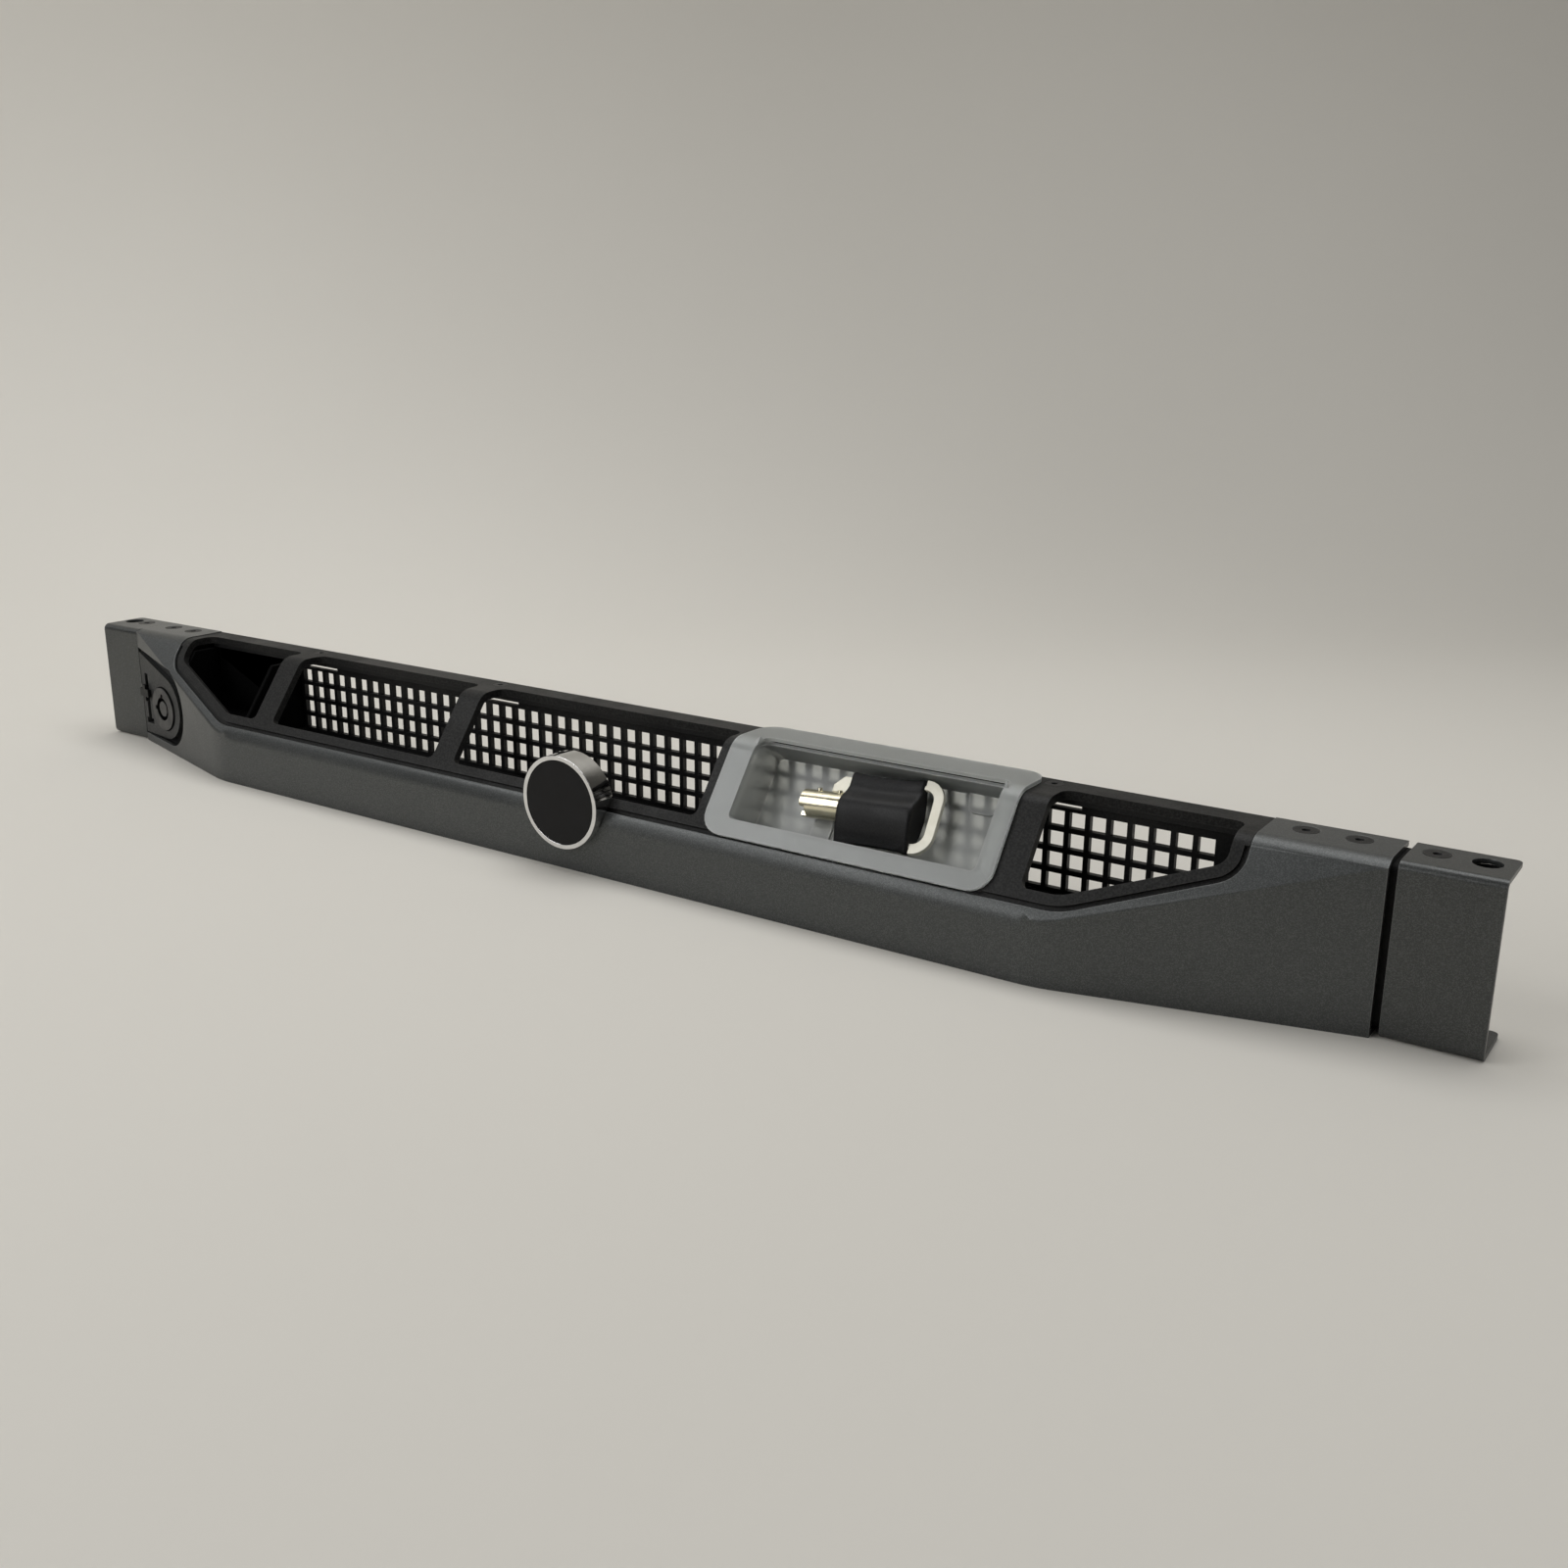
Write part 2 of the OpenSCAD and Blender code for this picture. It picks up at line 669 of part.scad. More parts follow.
module at_lock() {
    at_seat() translate([lock_u, 0, lock_z]) rotate([-90, 0, 0]) children();
}

module lock_barrel() {
    notch_w = 1.4;
    color([0.3, 0.3, 0.31]) at_lock() difference() {
        union() {
            translate([0, 0, -lock_flange_front])
                cylinder(h = lock_flange_front + seat_t - fit_gap, d = lock_face_d);
            cylinder(h = barrel_back, d = lock_body_d);
        }
        translate([0, 0, -past]) cylinder(h = barrel_back + 2 * past, d = lock_bore_d);
        for (a = [0, -90]) rotate([0, 0, a])
            translate([-notch_w / 2, -lock_bore_d / 2 - 1.2, -past])
                cube([notch_w, lock_bore_d / 2, past + plug_shoulder]);
    }
}

module lock_nut() {
    color("silver") at_lock() difference() {
        translate([0, 0, nut_w]) rotate([0, 0, 30])
            cylinder(h = nut_t, d = nut_af / cos(30), $fn = 6);
        translate([0, 0, nut_w - past])
            cylinder(h = nut_t + 2 * past, d = lock_body_d + 2 * fit_gap);
    }
}

module lock_plug() {
    color([0.62, 0.62, 0.64]) at_lock() union() {
        translate([0, 0, -0.3]) cylinder(h = plug_shoulder + 1, d = post_d);
        translate([-0.5, -post_d / 2 - 0.5, 0.5]) cube([1, 1.5, plug_shoulder]);
        translate([0, 0, plug_shoulder])
            cylinder(h = plug_back - plug_shoulder, d = lock_bore_d - 2 * fit_gap);
        translate([-tail_w / 2, -tail_w / 2, plug_back - past])
            cube([tail_w, tail_w, cam_t + past]);
    }
}

// Flat cam on the plug's square tail: it points up when the lock is open.
module lock_cam() {
    hole = tail_w + 2 * fit_gap;
    color("silver") at_lock() difference() {
        translate([0, 0, plug_back + fit_gap / 2]) linear_extrude(cam_t - fit_gap / 2) union() {
            circle(d = cam_w + 3);
            translate([-cam_w / 2, -cam_reach]) square([cam_w, cam_reach]);
        }
        translate([-hole / 2, -hole / 2, plug_back - past])
            cube([hole, hole, cam_t + 2 * past]);
    }
}

module cam_screw() {
    color("silver") at_lock() difference() {
        translate([0, 0, plug_back + cam_t + fit_gap / 2]) cylinder(h = 1.6, d = 7);
        translate([-3, -0.4, plug_back + cam_t + 0.9]) cube([6, 0.8, 2]);
    }
}

// ---- Release latch ----

module release_latch() {
    arm_w1 = plug_back + cam_t;
    color([0.05, 0.05, 0.05]) at_seat() union() {
        translate([latch_u - latch_half, latch_w0, latch_z0])
            cube([2 * latch_half, latch_t, latch_z1 - latch_z0]);
        translate([latch_u - slot_w / 2 + run_gap, -0.8, tab_z - tab_neck / 2])
            cube([slot_w - 2 * run_gap, latch_w0 + 1, tab_neck]);
        translate([latch_u - tab_w / 2, -1.4, tab_z - tab_h / 2])
            cube([tab_w, 1.4 - run_gap, tab_h]);
        translate([latch_u - 1, -1.4, tab_z - 3]) cube([2, 1.4 - run_gap, 6]);
        translate([latch_u - latch_half, latch_w0, latch_z1 - 3])
            cube([2 * latch_half, arm_w1 + 1 - latch_w0, 3]);
        translate([latch_u - latch_half, arm_w1 - 1, latch_z1 - 6])
            cube([2 * latch_half, 2, 4]);
    }
}

// Points on one ring of the spring's wire, at turn angle a.
function coil_ring(a, rise) =
    let (r = (spring_d - spring_wire) / 2)
    [for (k = [0 : 7])
        let (b = k * 45, rr = r + spring_wire / 2 * cos(b))
        [rr * cos(a), rr * sin(a), rise * a / 360 + spring_wire / 2 * sin(b)]];

module latch_spring() {
    ring_step = 30;
    steps = spring_turns * 360 / ring_step;
    z0 = latch_z1 + fit_gap + spring_wire / 2;
    length = bracket_z1 - flange_t - fit_gap - spring_wire / 2 - z0;
    rise = length / spring_turns;
    points = [for (i = [0 : steps]) each coil_ring(i * ring_step, rise)];
    sides = [for (i = [0 : steps - 1], k = [0 : 7])
        let (n = (k + 1) % 8, p = i * 8)
        [p + k, p + 8 + k, p + 8 + n, p + n]];
    color("silver") at_seat()
        translate([latch_u, latch_w0 + latch_half, z0])
            polyhedron(points, concat(sides, [[for (k = [0 : 7]) k],
                       [for (k = [7 : -1 : 0]) steps * 8 + k]]));
}

// ---- Badge ----

module badge_cup() {
    front = -chin_depth - badge_proud;
    color([0.8, 0.8, 0.8]) union() {
        difference() {
            translate([0, front, badge_z]) rotate([-90, 0, 0])
                cylinder(h = badge_back, d = badge_d, $fn = 96);
            translate([0, front - past, badge_z]) rotate([-90, 0, 0])
                cylinder(h = past + 1, d = badge_d - 2 * badge_rim, $fn = 96);
            middle_form(-fit_gap, -badge_d, badge_d, 0, rear_depth);
        }
        for (x = [-stud_x, stud_x])
            translate([x, -chin_depth - badge_proud / 2, stud_z]) rotate([-90, 0, 0])
                cylinder(h = badge_proud / 2 + sheet + clip_t + 1, d = stud_d);
    }
}

module badge_face() {
    face_t = 0.8;
    color([0.05, 0.05, 0.06])
        translate([0, -chin_depth - badge_proud + 1 - face_t, badge_z]) rotate([-90, 0, 0])
            cylinder(h = face_t, d = badge_d - 2 * badge_rim - 2 * fit_gap, $fn = 96);
}

module badge_clips() {
    color("gray") for (x = [-stud_x, stud_x])
        translate([x, -chin_depth + sheet + fit_gap, stud_z]) rotate([-90, 0, 0])
            difference() {
                cylinder(h = clip_t, d = clip_d);
                translate([0, 0, -past]) cylinder(h = clip_t + 2 * past, d = stud_d + fit_gap);
            }
}

// ---- Key holder and key ----

// Pocket outline at its mouth, moved inwards by c.
function pocket(c) =
    [[pocket_x0 + c, pocket_s0 + c, pocket_r - c], [pocket_x1 - c, pocket_s0 + c, pocket_r - c],
     [pocket_x1 - c, pocket_s1 - c, pocket_r - c], [pocket_x0 + c, pocket_s1 - c, pocket_r - c]];

// Pocket with walls that lean out from its floor, which lies at the given depth.
module pocket_body(c, depth, above) {
    centre = [(pocket_x0 + pocket_x1) / 2, (pocket_s0 + pocket_s1) / 2];
    inset = c + pocket_draft;
    lean = pocket_draft * (depth + above) / pocket_depth;
    length = pocket_x1 - pocket_x0 - 2 * inset;
    height = pocket_s1 - pocket_s0 - 2 * inset;
    on_slope(depth) translate([centre.x, centre.y, 0])
        linear_extrude(depth + above, slices = 1,
                       scale = [1 + 2 * lean / length, 1 + 2 * lean / height])
            translate(-centre) polygon(rounded(pocket(inset)));
}

// Low rounded pads that carry the key, on the pocket's floor.
module pads() {
    shank_x0 = key_x - grip_w / 2 - tube_len / 2 - 1 - shank_pad_w / 2;
    shank_x1 = shank_x0 + shank_pad_w;
    pad_x1 = pocket_x1 - pad_in;
    pad_x0 = pad_x1 - pad_w;
    low = pocket_s0 + holder_t + pocket_draft - past;
    high = pocket_s1 - holder_t - pocket_draft + past;
    lean = pad_h / 4;
    on_slope(pocket_depth + past / 2) linear_extrude(pad_t + past / 2) {
        polygon(rounded([[shank_x0, low, 0], [shank_x0, key_s - shank_pad_w / 2, shank_pad_r],
                         [shank_x1, key_s - shank_pad_w / 2, shank_pad_r],
                         [shank_x1, low, 0]]));
        polygon(rounded([[pad_x0, high, 0], [pad_x0 + lean, high - pad_h, 2],
                         [pad_x1 - lean, high - pad_h, 2], [pad_x1, high, 0]]));
    }
}

module key_holder() {
    x0 = pocket_x0 - holder_rim;
    x1 = pocket_x1 + holder_rim_right;
    lay = frame_drop - fit_gap / 2;
    mouth_z = bezel_h - lay + holder_t - mouth_lip;
    mouth_r = pocket_r - holder_t;
    color([0.8, 0.82, 0.84, 0.6]) difference() {
        union() {
            intersection() {
                difference() {
                    middle_form(lay - holder_t, x0, x1, 0, rear_depth);
                    middle_form(lay, x0 - past, x1 + past, -past, rear_depth + past);
                }
                on_slope(open_cut_depth) linear_extrude(2 * open_cut_depth)
                    polygon(rounded([[x0, holder_s0, holder_r], [x1, holder_s0, holder_r],
                                     [x1, open_top, 0], [x0, open_top, 0]]));
                linear_extrude(bezel_h + 2 * past)
                    polygon(rounded([[x0, -2 * chin_depth, 0], [x1, -2 * chin_depth, 0],
                                     [x1, rear_depth, holder_r], [x0, rear_depth, holder_r]]));
            }
            pocket_body(0, pocket_depth + holder_t, 0);
        }
        difference() {
            pocket_body(holder_t, pocket_depth, 2 * past);
            pads();
        }
        translate([0, 0, mouth_z]) linear_extrude(bezel_h)
            polygon(rounded([[pocket_x0 + holder_t, -past, 0], [pocket_x1 - holder_t, -past, 0],
                             [pocket_x1 - holder_t, mouth_y, mouth_r],
                             [pocket_x0 + holder_t, mouth_y, mouth_r]]));
    }
}

// The key's own frame: x along its shank, with its grip in the middle.
module at_key() {
    on_slope(key_d) translate([key_x, key_s, 0]) rotate([0, 0, key_turn]) children();
}

module key_tube() {
    wall = 1.05;
    nib_d = 1.3;
    nib_turn = 30;
    x0 = -grip_w / 2 - tube_len;
    color([0.85, 0.8, 0.68]) at_key() difference() {
        union() {
            translate([x0, 0, 0]) rotate([0, 90, 0])
                cylinder(h = tube_len + tube_in, d = key_tube_d);
            for (x = [0.36, 0.88] * tube_len)
                rotate([nib_turn, 0, 0]) translate([x0 + x, key_tube_d / 2 - nib_d / 2, 0])
                    rotate([-90, 0, 0]) cylinder(h = nib_d, d = nib_d);
        }
        translate([x0 - past, 0, 0]) rotate([0, 90, 0])
            cylinder(h = 9, d = key_tube_d - 2 * wall);
        translate([x0 - past, -key_tube_d / 2 - past, 0.8])
            cube([past + 1.6, 3, 3]);
    }
}

// Moulded grip with hollowed long sides and crowned faces.
module key_grip() {
    waist_r = (grip_w * grip_w / 4 + grip_waist * grip_waist) / (2 * grip_waist);
    rise = (grip_t - grip_edge) / 2;
    crown_r = (grip_h * grip_h / 4 + rise * rise) / (2 * rise);
    color([0.07, 0.07, 0.07]) at_key() difference() {
        intersection() {
            translate([-grip_w / 2, -grip_h / 2, -grip_t / 2]) cube([grip_w, grip_h, grip_t]);
            for (s = [-1, 1])
                translate([-grip_w / 2 - past, 0, s * (grip_t / 2 - crown_r)])
                    rotate([0, 90, 0]) cylinder(h = grip_w + 2 * past, r = crown_r, $fn = 120);
        }
        for (s = [-1, 1])
            translate([0, s * (grip_h / 2 + waist_r - grip_waist), -grip_t])
                cylinder(h = 2 * grip_t, r = waist_r, $fn = 160);
        translate([-grip_w / 2 - past, 0, 0]) rotate([0, 90, 0])
            cylinder(h = tube_in + 2 * past, d = key_tube_d + 2 * fit_gap);
        translate([-grip_w / 2 + bow_in, 0, 0]) bow_room(grip_w, bow_h / 2 - bow_neck);
        translate([-grip_w / 2 - past, 0, 0])
            bow_room(bow_in + 2 * past, bow_h / 2 - bow_neck, key_tube_d / 2);
    }
}

// Room for the bow's plate in the grip, from height low to height high.
module bow_room(length, high, low) {
    bottom = low == undef ? -high - fit_gap : low;
    translate([0, bottom, -bow_t / 2 - fit_gap])
        cube([length, high + fit_gap - bottom, bow_t + 2 * fit_gap]);
}

// Stamped steel loop, with a small shoulder beside the tube.
module key_bow() {
    x0 = -grip_w / 2 + bow_in + fit_gap;
    x1 = grip_w / 2;
    x2 = x1 + bow_reach;
    h = bow_h / 2;
    n = h - bow_neck;
    m = h - bow_strip;
    low = key_tube_d / 2 + fit_gap;
    color([0.88, 0.85, 0.78]) at_key() translate([0, 0, -bow_t / 2]) linear_extrude(bow_t)
        difference() {
            polygon(rounded([[x0, -n, 0], [x1 + fit_gap, -n, 0], [x1 + fit_gap, -h, 0],
                             [x2, -h, 5.5], [x2, h, 5.5], [x1 + fit_gap, h, 0],
                             [x1 + fit_gap, n, 0],
                             [shoulder_cut - shoulder_w - grip_w / 2, n, 0.5],
                             [-shoulder_w - grip_w / 2, n - shoulder_cut, 0.5],
                             [-shoulder_w - grip_w / 2, low, 0], [x0, low, 0]]));
            polygon(rounded([[x1 - 2, -m, 1], [x2 - bow_strip, -m, 3],
                             [x2 - bow_strip, m, 3], [x1 - 2, m, 1]]));
        }
}

// ---- Screws ----

module shell_screws() {
    color([0.12, 0.12, 0.12])
        for (x = concat(left_screws(), right_screws()))
            flat_head_screw(x, shell_screw_y, bezel_h, sheet, screw_d, screw_head_d,
                            shell_screw_len);
}

module ear_screws() {
    color([0.12, 0.12, 0.12]) for (x = [left_ear_screw_x, right_ear_screw_x])
        flat_head_screw(x, ear_screw_y, bezel_h, sheet, screw_d, screw_head_d,
                        shell_screw_len);
}

module frame_screws() {
    color([0.1, 0.1, 0.1]) for (x = strut_x)
        flat_head_screw(x, frame_screw_y, rail_z1, frame_t, small_screw_d, small_head_d,
                        frame_t + fit_gap + panel_flange_t);
}

front_shell();
left_ear();
right_ear();
window_frame();
grille_panel();
side_baffle();
lock_bracket();
hook_bracket();
lock_barrel();
lock_nut();
lock_plug();
lock_cam();
cam_screw();
release_latch();
latch_spring();
badge_cup();
badge_face();
badge_clips();
key_holder();
key_tube();
key_grip();
key_bow();
shell_screws();
ear_screws();
frame_screws();
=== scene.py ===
"""Server front bezel: finishes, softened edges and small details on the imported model."""
import json
from math import cos, pi, radians, sin

import bmesh
import bpy
from mathutils import Matrix, Vector


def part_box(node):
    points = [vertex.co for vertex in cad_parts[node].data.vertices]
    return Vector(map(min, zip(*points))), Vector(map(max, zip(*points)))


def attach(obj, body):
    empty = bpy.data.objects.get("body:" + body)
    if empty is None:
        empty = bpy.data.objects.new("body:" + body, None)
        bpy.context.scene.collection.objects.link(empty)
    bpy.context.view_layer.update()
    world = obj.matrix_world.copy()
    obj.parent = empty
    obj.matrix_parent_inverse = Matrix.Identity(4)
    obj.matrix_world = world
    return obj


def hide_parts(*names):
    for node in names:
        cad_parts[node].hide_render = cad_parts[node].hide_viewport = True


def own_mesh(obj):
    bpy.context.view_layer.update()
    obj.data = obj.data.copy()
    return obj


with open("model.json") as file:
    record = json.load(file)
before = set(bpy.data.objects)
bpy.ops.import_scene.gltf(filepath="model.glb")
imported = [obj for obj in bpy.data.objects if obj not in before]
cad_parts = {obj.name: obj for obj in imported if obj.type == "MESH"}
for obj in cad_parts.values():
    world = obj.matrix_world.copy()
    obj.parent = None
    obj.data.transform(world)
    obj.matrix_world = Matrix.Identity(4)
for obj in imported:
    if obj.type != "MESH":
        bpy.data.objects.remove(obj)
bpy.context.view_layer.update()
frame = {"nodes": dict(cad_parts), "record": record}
nodes = frame["nodes"]
bodies = frame["record"]["behaviour"]["bodies"]
body_of = {node: body for body, members in bodies.items() for node in members}
scene = bpy.context.scene

MM = 0.001
SLOPE_TILT = 53  # degrees between the sloping face and the floor
SLOPE_OUT = Vector((0, -sin(radians(SLOPE_TILT)), cos(radians(SLOPE_TILT))))
KEY_TURN = 3.5  # degrees that the key lies turned in its holder


# ---- Camera, floor and lights ----

SENSOR_WIDTH = 36
LENS = 36.49
CLIP_START = 0.01
CAMERA_PLACE = (0.290187, -0.336589, 0.151477)
CAMERA_AHEAD = Vector((-0.53861, 0.79346, -0.28340)).normalized()
CAMERA_UP = Vector((-0.16382, 0.23132, 0.95899))

ROOM_LIGHT = 0.06
LAMPS = (  # name, place, where it points, width and height, watts
    ("overhead", (-0.1, 0.25, 1.2), (-0.1, 0.25, 0), (1.4, 0.8), 9.1),
    ("front_left", (-0.32, -1.0, 0.50), (0, 0, 0), (0.6, 0.4), 2.2),
    ("high_left", (-0.65, -0.68, 0.85), (0, 0, 0), (0.5, 0.35), 2.6),
    ("left", (-1.3, -0.1, 0.7), (0, 0, 0), (0.9, 0.6), 0.85),
    ("right", (0.9, 0.2, 1.1), (0, 0, 0), (0.8, 0.6), 1.3))


def make_camera():
    """Looks at the bezel from its right end, a little above it."""
    data = bpy.data.cameras.new("Camera")
    data.sensor_width = SENSOR_WIDTH
    data.lens = LENS
    data.clip_start = CLIP_START
    camera = bpy.data.objects.new("Camera", data)
    right = CAMERA_AHEAD.cross(CAMERA_UP).normalized()
    turn = Matrix((right, right.cross(CAMERA_AHEAD), -CAMERA_AHEAD)).transposed()
    camera.matrix_world = Matrix.Translation(CAMERA_PLACE) @ turn.to_4x4()
    scene.collection.objects.link(camera)
    scene.camera = camera


def make_sweep():
    """Floor that curves up into a wall, square to the camera's heading."""
    heading = Vector((CAMERA_AHEAD.x, CAMERA_AHEAD.y, 0)).normalized()
    across = Vector((heading.y, -heading.x, 0))
    front, bend_start, bend_r, bend_steps = -3.0, 0.30, 0.35, 24
    wall_top, half_width = 2.2, 3.0
    profile = [(front, 0.0), (bend_start, 0.0)]
    for i in range(1, bend_steps + 1):
        a = pi / 2 * i / bend_steps
        profile.append((bend_start + bend_r * sin(a), bend_r - bend_r * cos(a)))
    profile.append((bend_start + bend_r, wall_top))
    bm = bmesh.new()
    line = [bm.verts.new(heading * run + Vector((0, 0, rise)) + across * half_width)
            for run, rise in profile]
    edges = [bm.edges.new(pair) for pair in zip(line, line[1:])]
    swept = bmesh.ops.extrude_edge_only(bm, edges=edges)["geom"]
    bmesh.ops.translate(bm, verts=verts_of(swept), vec=across * -2 * half_width)
    bmesh.ops.recalc_face_normals(bm, faces=bm.faces)
    if min(bm.faces, key=lambda f: f.calc_center_median().z).normal.z < 0:
        bmesh.ops.reverse_faces(bm, faces=bm.faces)
    sweep = object_from(bm, "sweep")
    return sweep


def make_lamp(name, place, target, size, watts):
    """White soft lamp at a place, turned to a target."""
    data = bpy.data.lights.new(name, "AREA")
    data.shape = "RECTANGLE"
    data.size, data.size_y = size
    data.energy = watts
    lamp = bpy.data.objects.new(name, data)
    lamp.location = place
    lamp.rotation_mode = "QUATERNION"
    lamp.rotation_quaternion = (Vector(target) - Vector(place)).to_track_quat("-Z", "Y")
    scene.collection.objects.link(lamp)


def light_room():
    world = bpy.data.worlds.new("Room")
    scene.world = world
    world.use_nodes = True
    back = world.node_tree.nodes["Background"]
    back.inputs["Color"].default_value = rgb(1.0, 1.0, 1.0)
    back.inputs["Strength"].default_value = ROOM_LIGHT
    for lamp in LAMPS:
        make_lamp(*lamp)


# ---- Meshes ----

WELD = 0.002  # millimetres between corners that are one
FLAT = 0.5  # degrees up to which faces are one
SMOOTH = 35  # degrees up to which shading runs over an edge


def verts_of(geom):
    return [item for item in geom if isinstance(item, bmesh.types.BMVert)]


def faces_of(geom):
    return [item for item in geom if isinstance(item, bmesh.types.BMFace)]


def to_metres(bm):
    """Takes a mesh that was drawn in millimetres to its real size."""
    bmesh.ops.scale(bm, verts=bm.verts, vec=(MM, MM, MM))


def object_from(bm, name, smooth_angle=SMOOTH):
    """Turns a bmesh into an object with smooth shading between its sharp edges."""
    for face in bm.faces:
        face.smooth = True
    for edge in bm.edges:
        edge.smooth = not (edge.is_manifold
                           and edge.calc_face_angle(0) > radians(smooth_angle))
    mesh = bpy.data.meshes.new(name)
    bm.to_mesh(mesh)
    bm.free()
    obj = bpy.data.objects.new(name, mesh)
    scene.collection.objects.link(obj)
    return obj


def merged(node):
    """A copy of a CAD node's mesh with its triangles joined into plain faces."""
    bm = bmesh.new()
    bm.from_mesh(nodes[node].data)
    bmesh.ops.remove_doubles(bm, verts=bm.verts, dist=WELD * MM)
    bmesh.ops.dissolve_limit(bm, angle_limit=radians(FLAT), use_dissolve_boundaries=False,
                             verts=bm.verts, edges=bm.edges)
    return bm


def bevel(bm, edges, width, segments, clamp=True):
    bmesh.ops.bevel(bm, geom=edges, offset=width, offset_type="OFFSET", segments=segments,
                    profile=0.5, affect="EDGES", clamp_overlap=clamp, material=-1)


def soften(bm, chosen, width, segments, clamp=True):
    """Rounds the chosen edges by width millimetres."""
    edges = [edge for edge in bm.edges if edge.is_manifold and chosen(edge)]
    bevel(bm, edges, width * MM, segments, clamp)


def sharper_than(degrees):
    return lambda edge: edge.calc_face_angle(0) > radians(degrees)


FACE_AREA_WEIGHT = 100  # how much larger faces count in the shading of their corners


def finish_piece(obj, material, body, replaced=()):
    """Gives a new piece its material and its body."""
    obj.data.materials.clear()
    obj.data.materials.append(material)
    even = obj.modifiers.new("even_normals", "WEIGHTED_NORMAL")
    even.keep_sharp = True
    even.weight = FACE_AREA_WEIGHT
    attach(obj, body)
    if replaced:
        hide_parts(*replaced)
    return obj


# ---- Shader groups ----

def new_group(name, inputs, outputs):
    """Node group with the named sockets: (name, socket type, default)."""
    tree = bpy.data.node_groups.new(name, "ShaderNodeTree")
    for socket, kind, default in inputs:
        made = tree.interface.new_socket(socket, in_out="INPUT", socket_type=kind)
        made.default_value = default
    for socket, kind in outputs:
        tree.interface.new_socket(socket, in_out="OUTPUT", socket_type=kind)
    return tree, tree.nodes.new("NodeGroupInput"), tree.nodes.new("NodeGroupOutput")


def add(tree, kind, **settings):
    """Adds a node. A setting names a property, or an input socket with _ for a space."""
    node = tree.nodes.new("ShaderNode" + kind)
    for key, value in settings.items():
        if hasattr(node, key):
            setattr(node, key, value)
        else:
            plug(tree, value, node.inputs[key.replace("_", " ")])
    return node


def plug(tree, value, socket):
    """Joins another node's socket to this one, or sets this one's value."""
    if isinstance(value, bpy.types.NodeSocket):
        tree.links.new(value, socket)
    else:
        socket.default_value = value


def spread(tree, value, low, high, out_low=0.0, out_high=1.0):
    """Maps a value from one range to another, smoothly and held at the ends."""
    node = add(tree, "MapRange", interpolation_type="SMOOTHSTEP")
    for index, item in enumerate((value, low, high, out_low, out_high)):
        plug(tree, item, node.inputs[index])
    return node.outputs[0]


def maths(tree, operation, first, second):
    node = add(tree, "Math", operation=operation)
    plug(tree, first, node.inputs[0])
    plug(tree, second, node.inputs[1])
    return node.outputs[0]


def blend_colours(tree, factor, first, second):
    first_colour, second_colour, mixed_colour = 6, 7, 2  # among like-named sockets
    node = add(tree, "Mix", data_type="RGBA")
    plug(tree, factor, node.inputs["Factor"])
    plug(tree, first, node.inputs[first_colour])
    plug(tree, second, node.inputs[second_colour])
    return node.outputs[mixed_colour]


def make_flake_group():
    """Metal flakes in paint: a random tone for each tiny flake over a slow drift."""
    tree, given, out = new_group(
        "Paint Flake",
        [("Flakes per Metre", "NodeSocketFloat", 5200.0), ("Drift", "NodeSocketFloat", 0.3)],
        [("Mask", "NodeSocketFloat"), ("Height", "NodeSocketFloat")])
    place = add(tree, "TexCoord").outputs["Object"]
    flakes = add(tree, "TexVoronoi", Vector=place, Randomness=1.0,
                 Scale=given.outputs["Flakes per Metre"])
    tone = add(tree, "SeparateColor")
    plug(tree, flakes.outputs["Color"], tone.inputs["Color"])
    fine = add(tree, "TexNoise", Vector=place, Scale=2600.0, Detail=2.0, Roughness=0.6)
    slow = add(tree, "TexNoise", Vector=place, Scale=45.0, Detail=3.0, Roughness=0.55)
    specks = spread(tree, tone.outputs["Red"], low=0.35, high=1.0)
    drift = maths(tree, "MULTIPLY", maths(tree, "SUBTRACT", slow.outputs["Fac"], 0.5),
                  given.outputs["Drift"])
    plug(tree, maths(tree, "ADD", specks, drift), out.inputs["Mask"])
    plug(tree, fine.outputs["Fac"], out.inputs["Height"])
    return tree


def make_grain_group():
    """Spark-eroded mould grain of plastic parts, with soft patches from handling."""
    tree, given, out = new_group(
        "Mould Grain",
        [("Grains per Metre", "NodeSocketFloat", 1800.0), ("Patch", "NodeSocketFloat", 40.0)],
        [("Height", "NodeSocketFloat"), ("Speckle", "NodeSocketFloat"),
         ("Patches", "NodeSocketFloat")])
    place = add(tree, "TexCoord").outputs["Object"]
    fine = add(tree, "TexNoise", Vector=place, Scale=given.outputs["Grains per Metre"],
               Detail=3.0, Roughness=0.65)
    cells = add(tree, "TexVoronoi", Vector=place, Randomness=1.0, Scale=maths(
        tree, "MULTIPLY", given.outputs["Grains per Metre"], 0.6))
    slow = add(tree, "TexNoise", Vector=place, Scale=given.outputs["Patch"], Detail=4.0,
               Roughness=0.6)
    height = maths(tree, "ADD", fine.outputs["Fac"],
                   maths(tree, "MULTIPLY", cells.outputs["Distance"], 0.5))
    plug(tree, height, out.inputs["Height"])
    plug(tree, spread(tree, fine.outputs["Fac"], low=0.35, high=0.68), out.inputs["Speckle"])
    plug(tree, spread(tree, slow.outputs["Fac"], low=0.35, high=0.65), out.inputs["Patches"])
    return tree


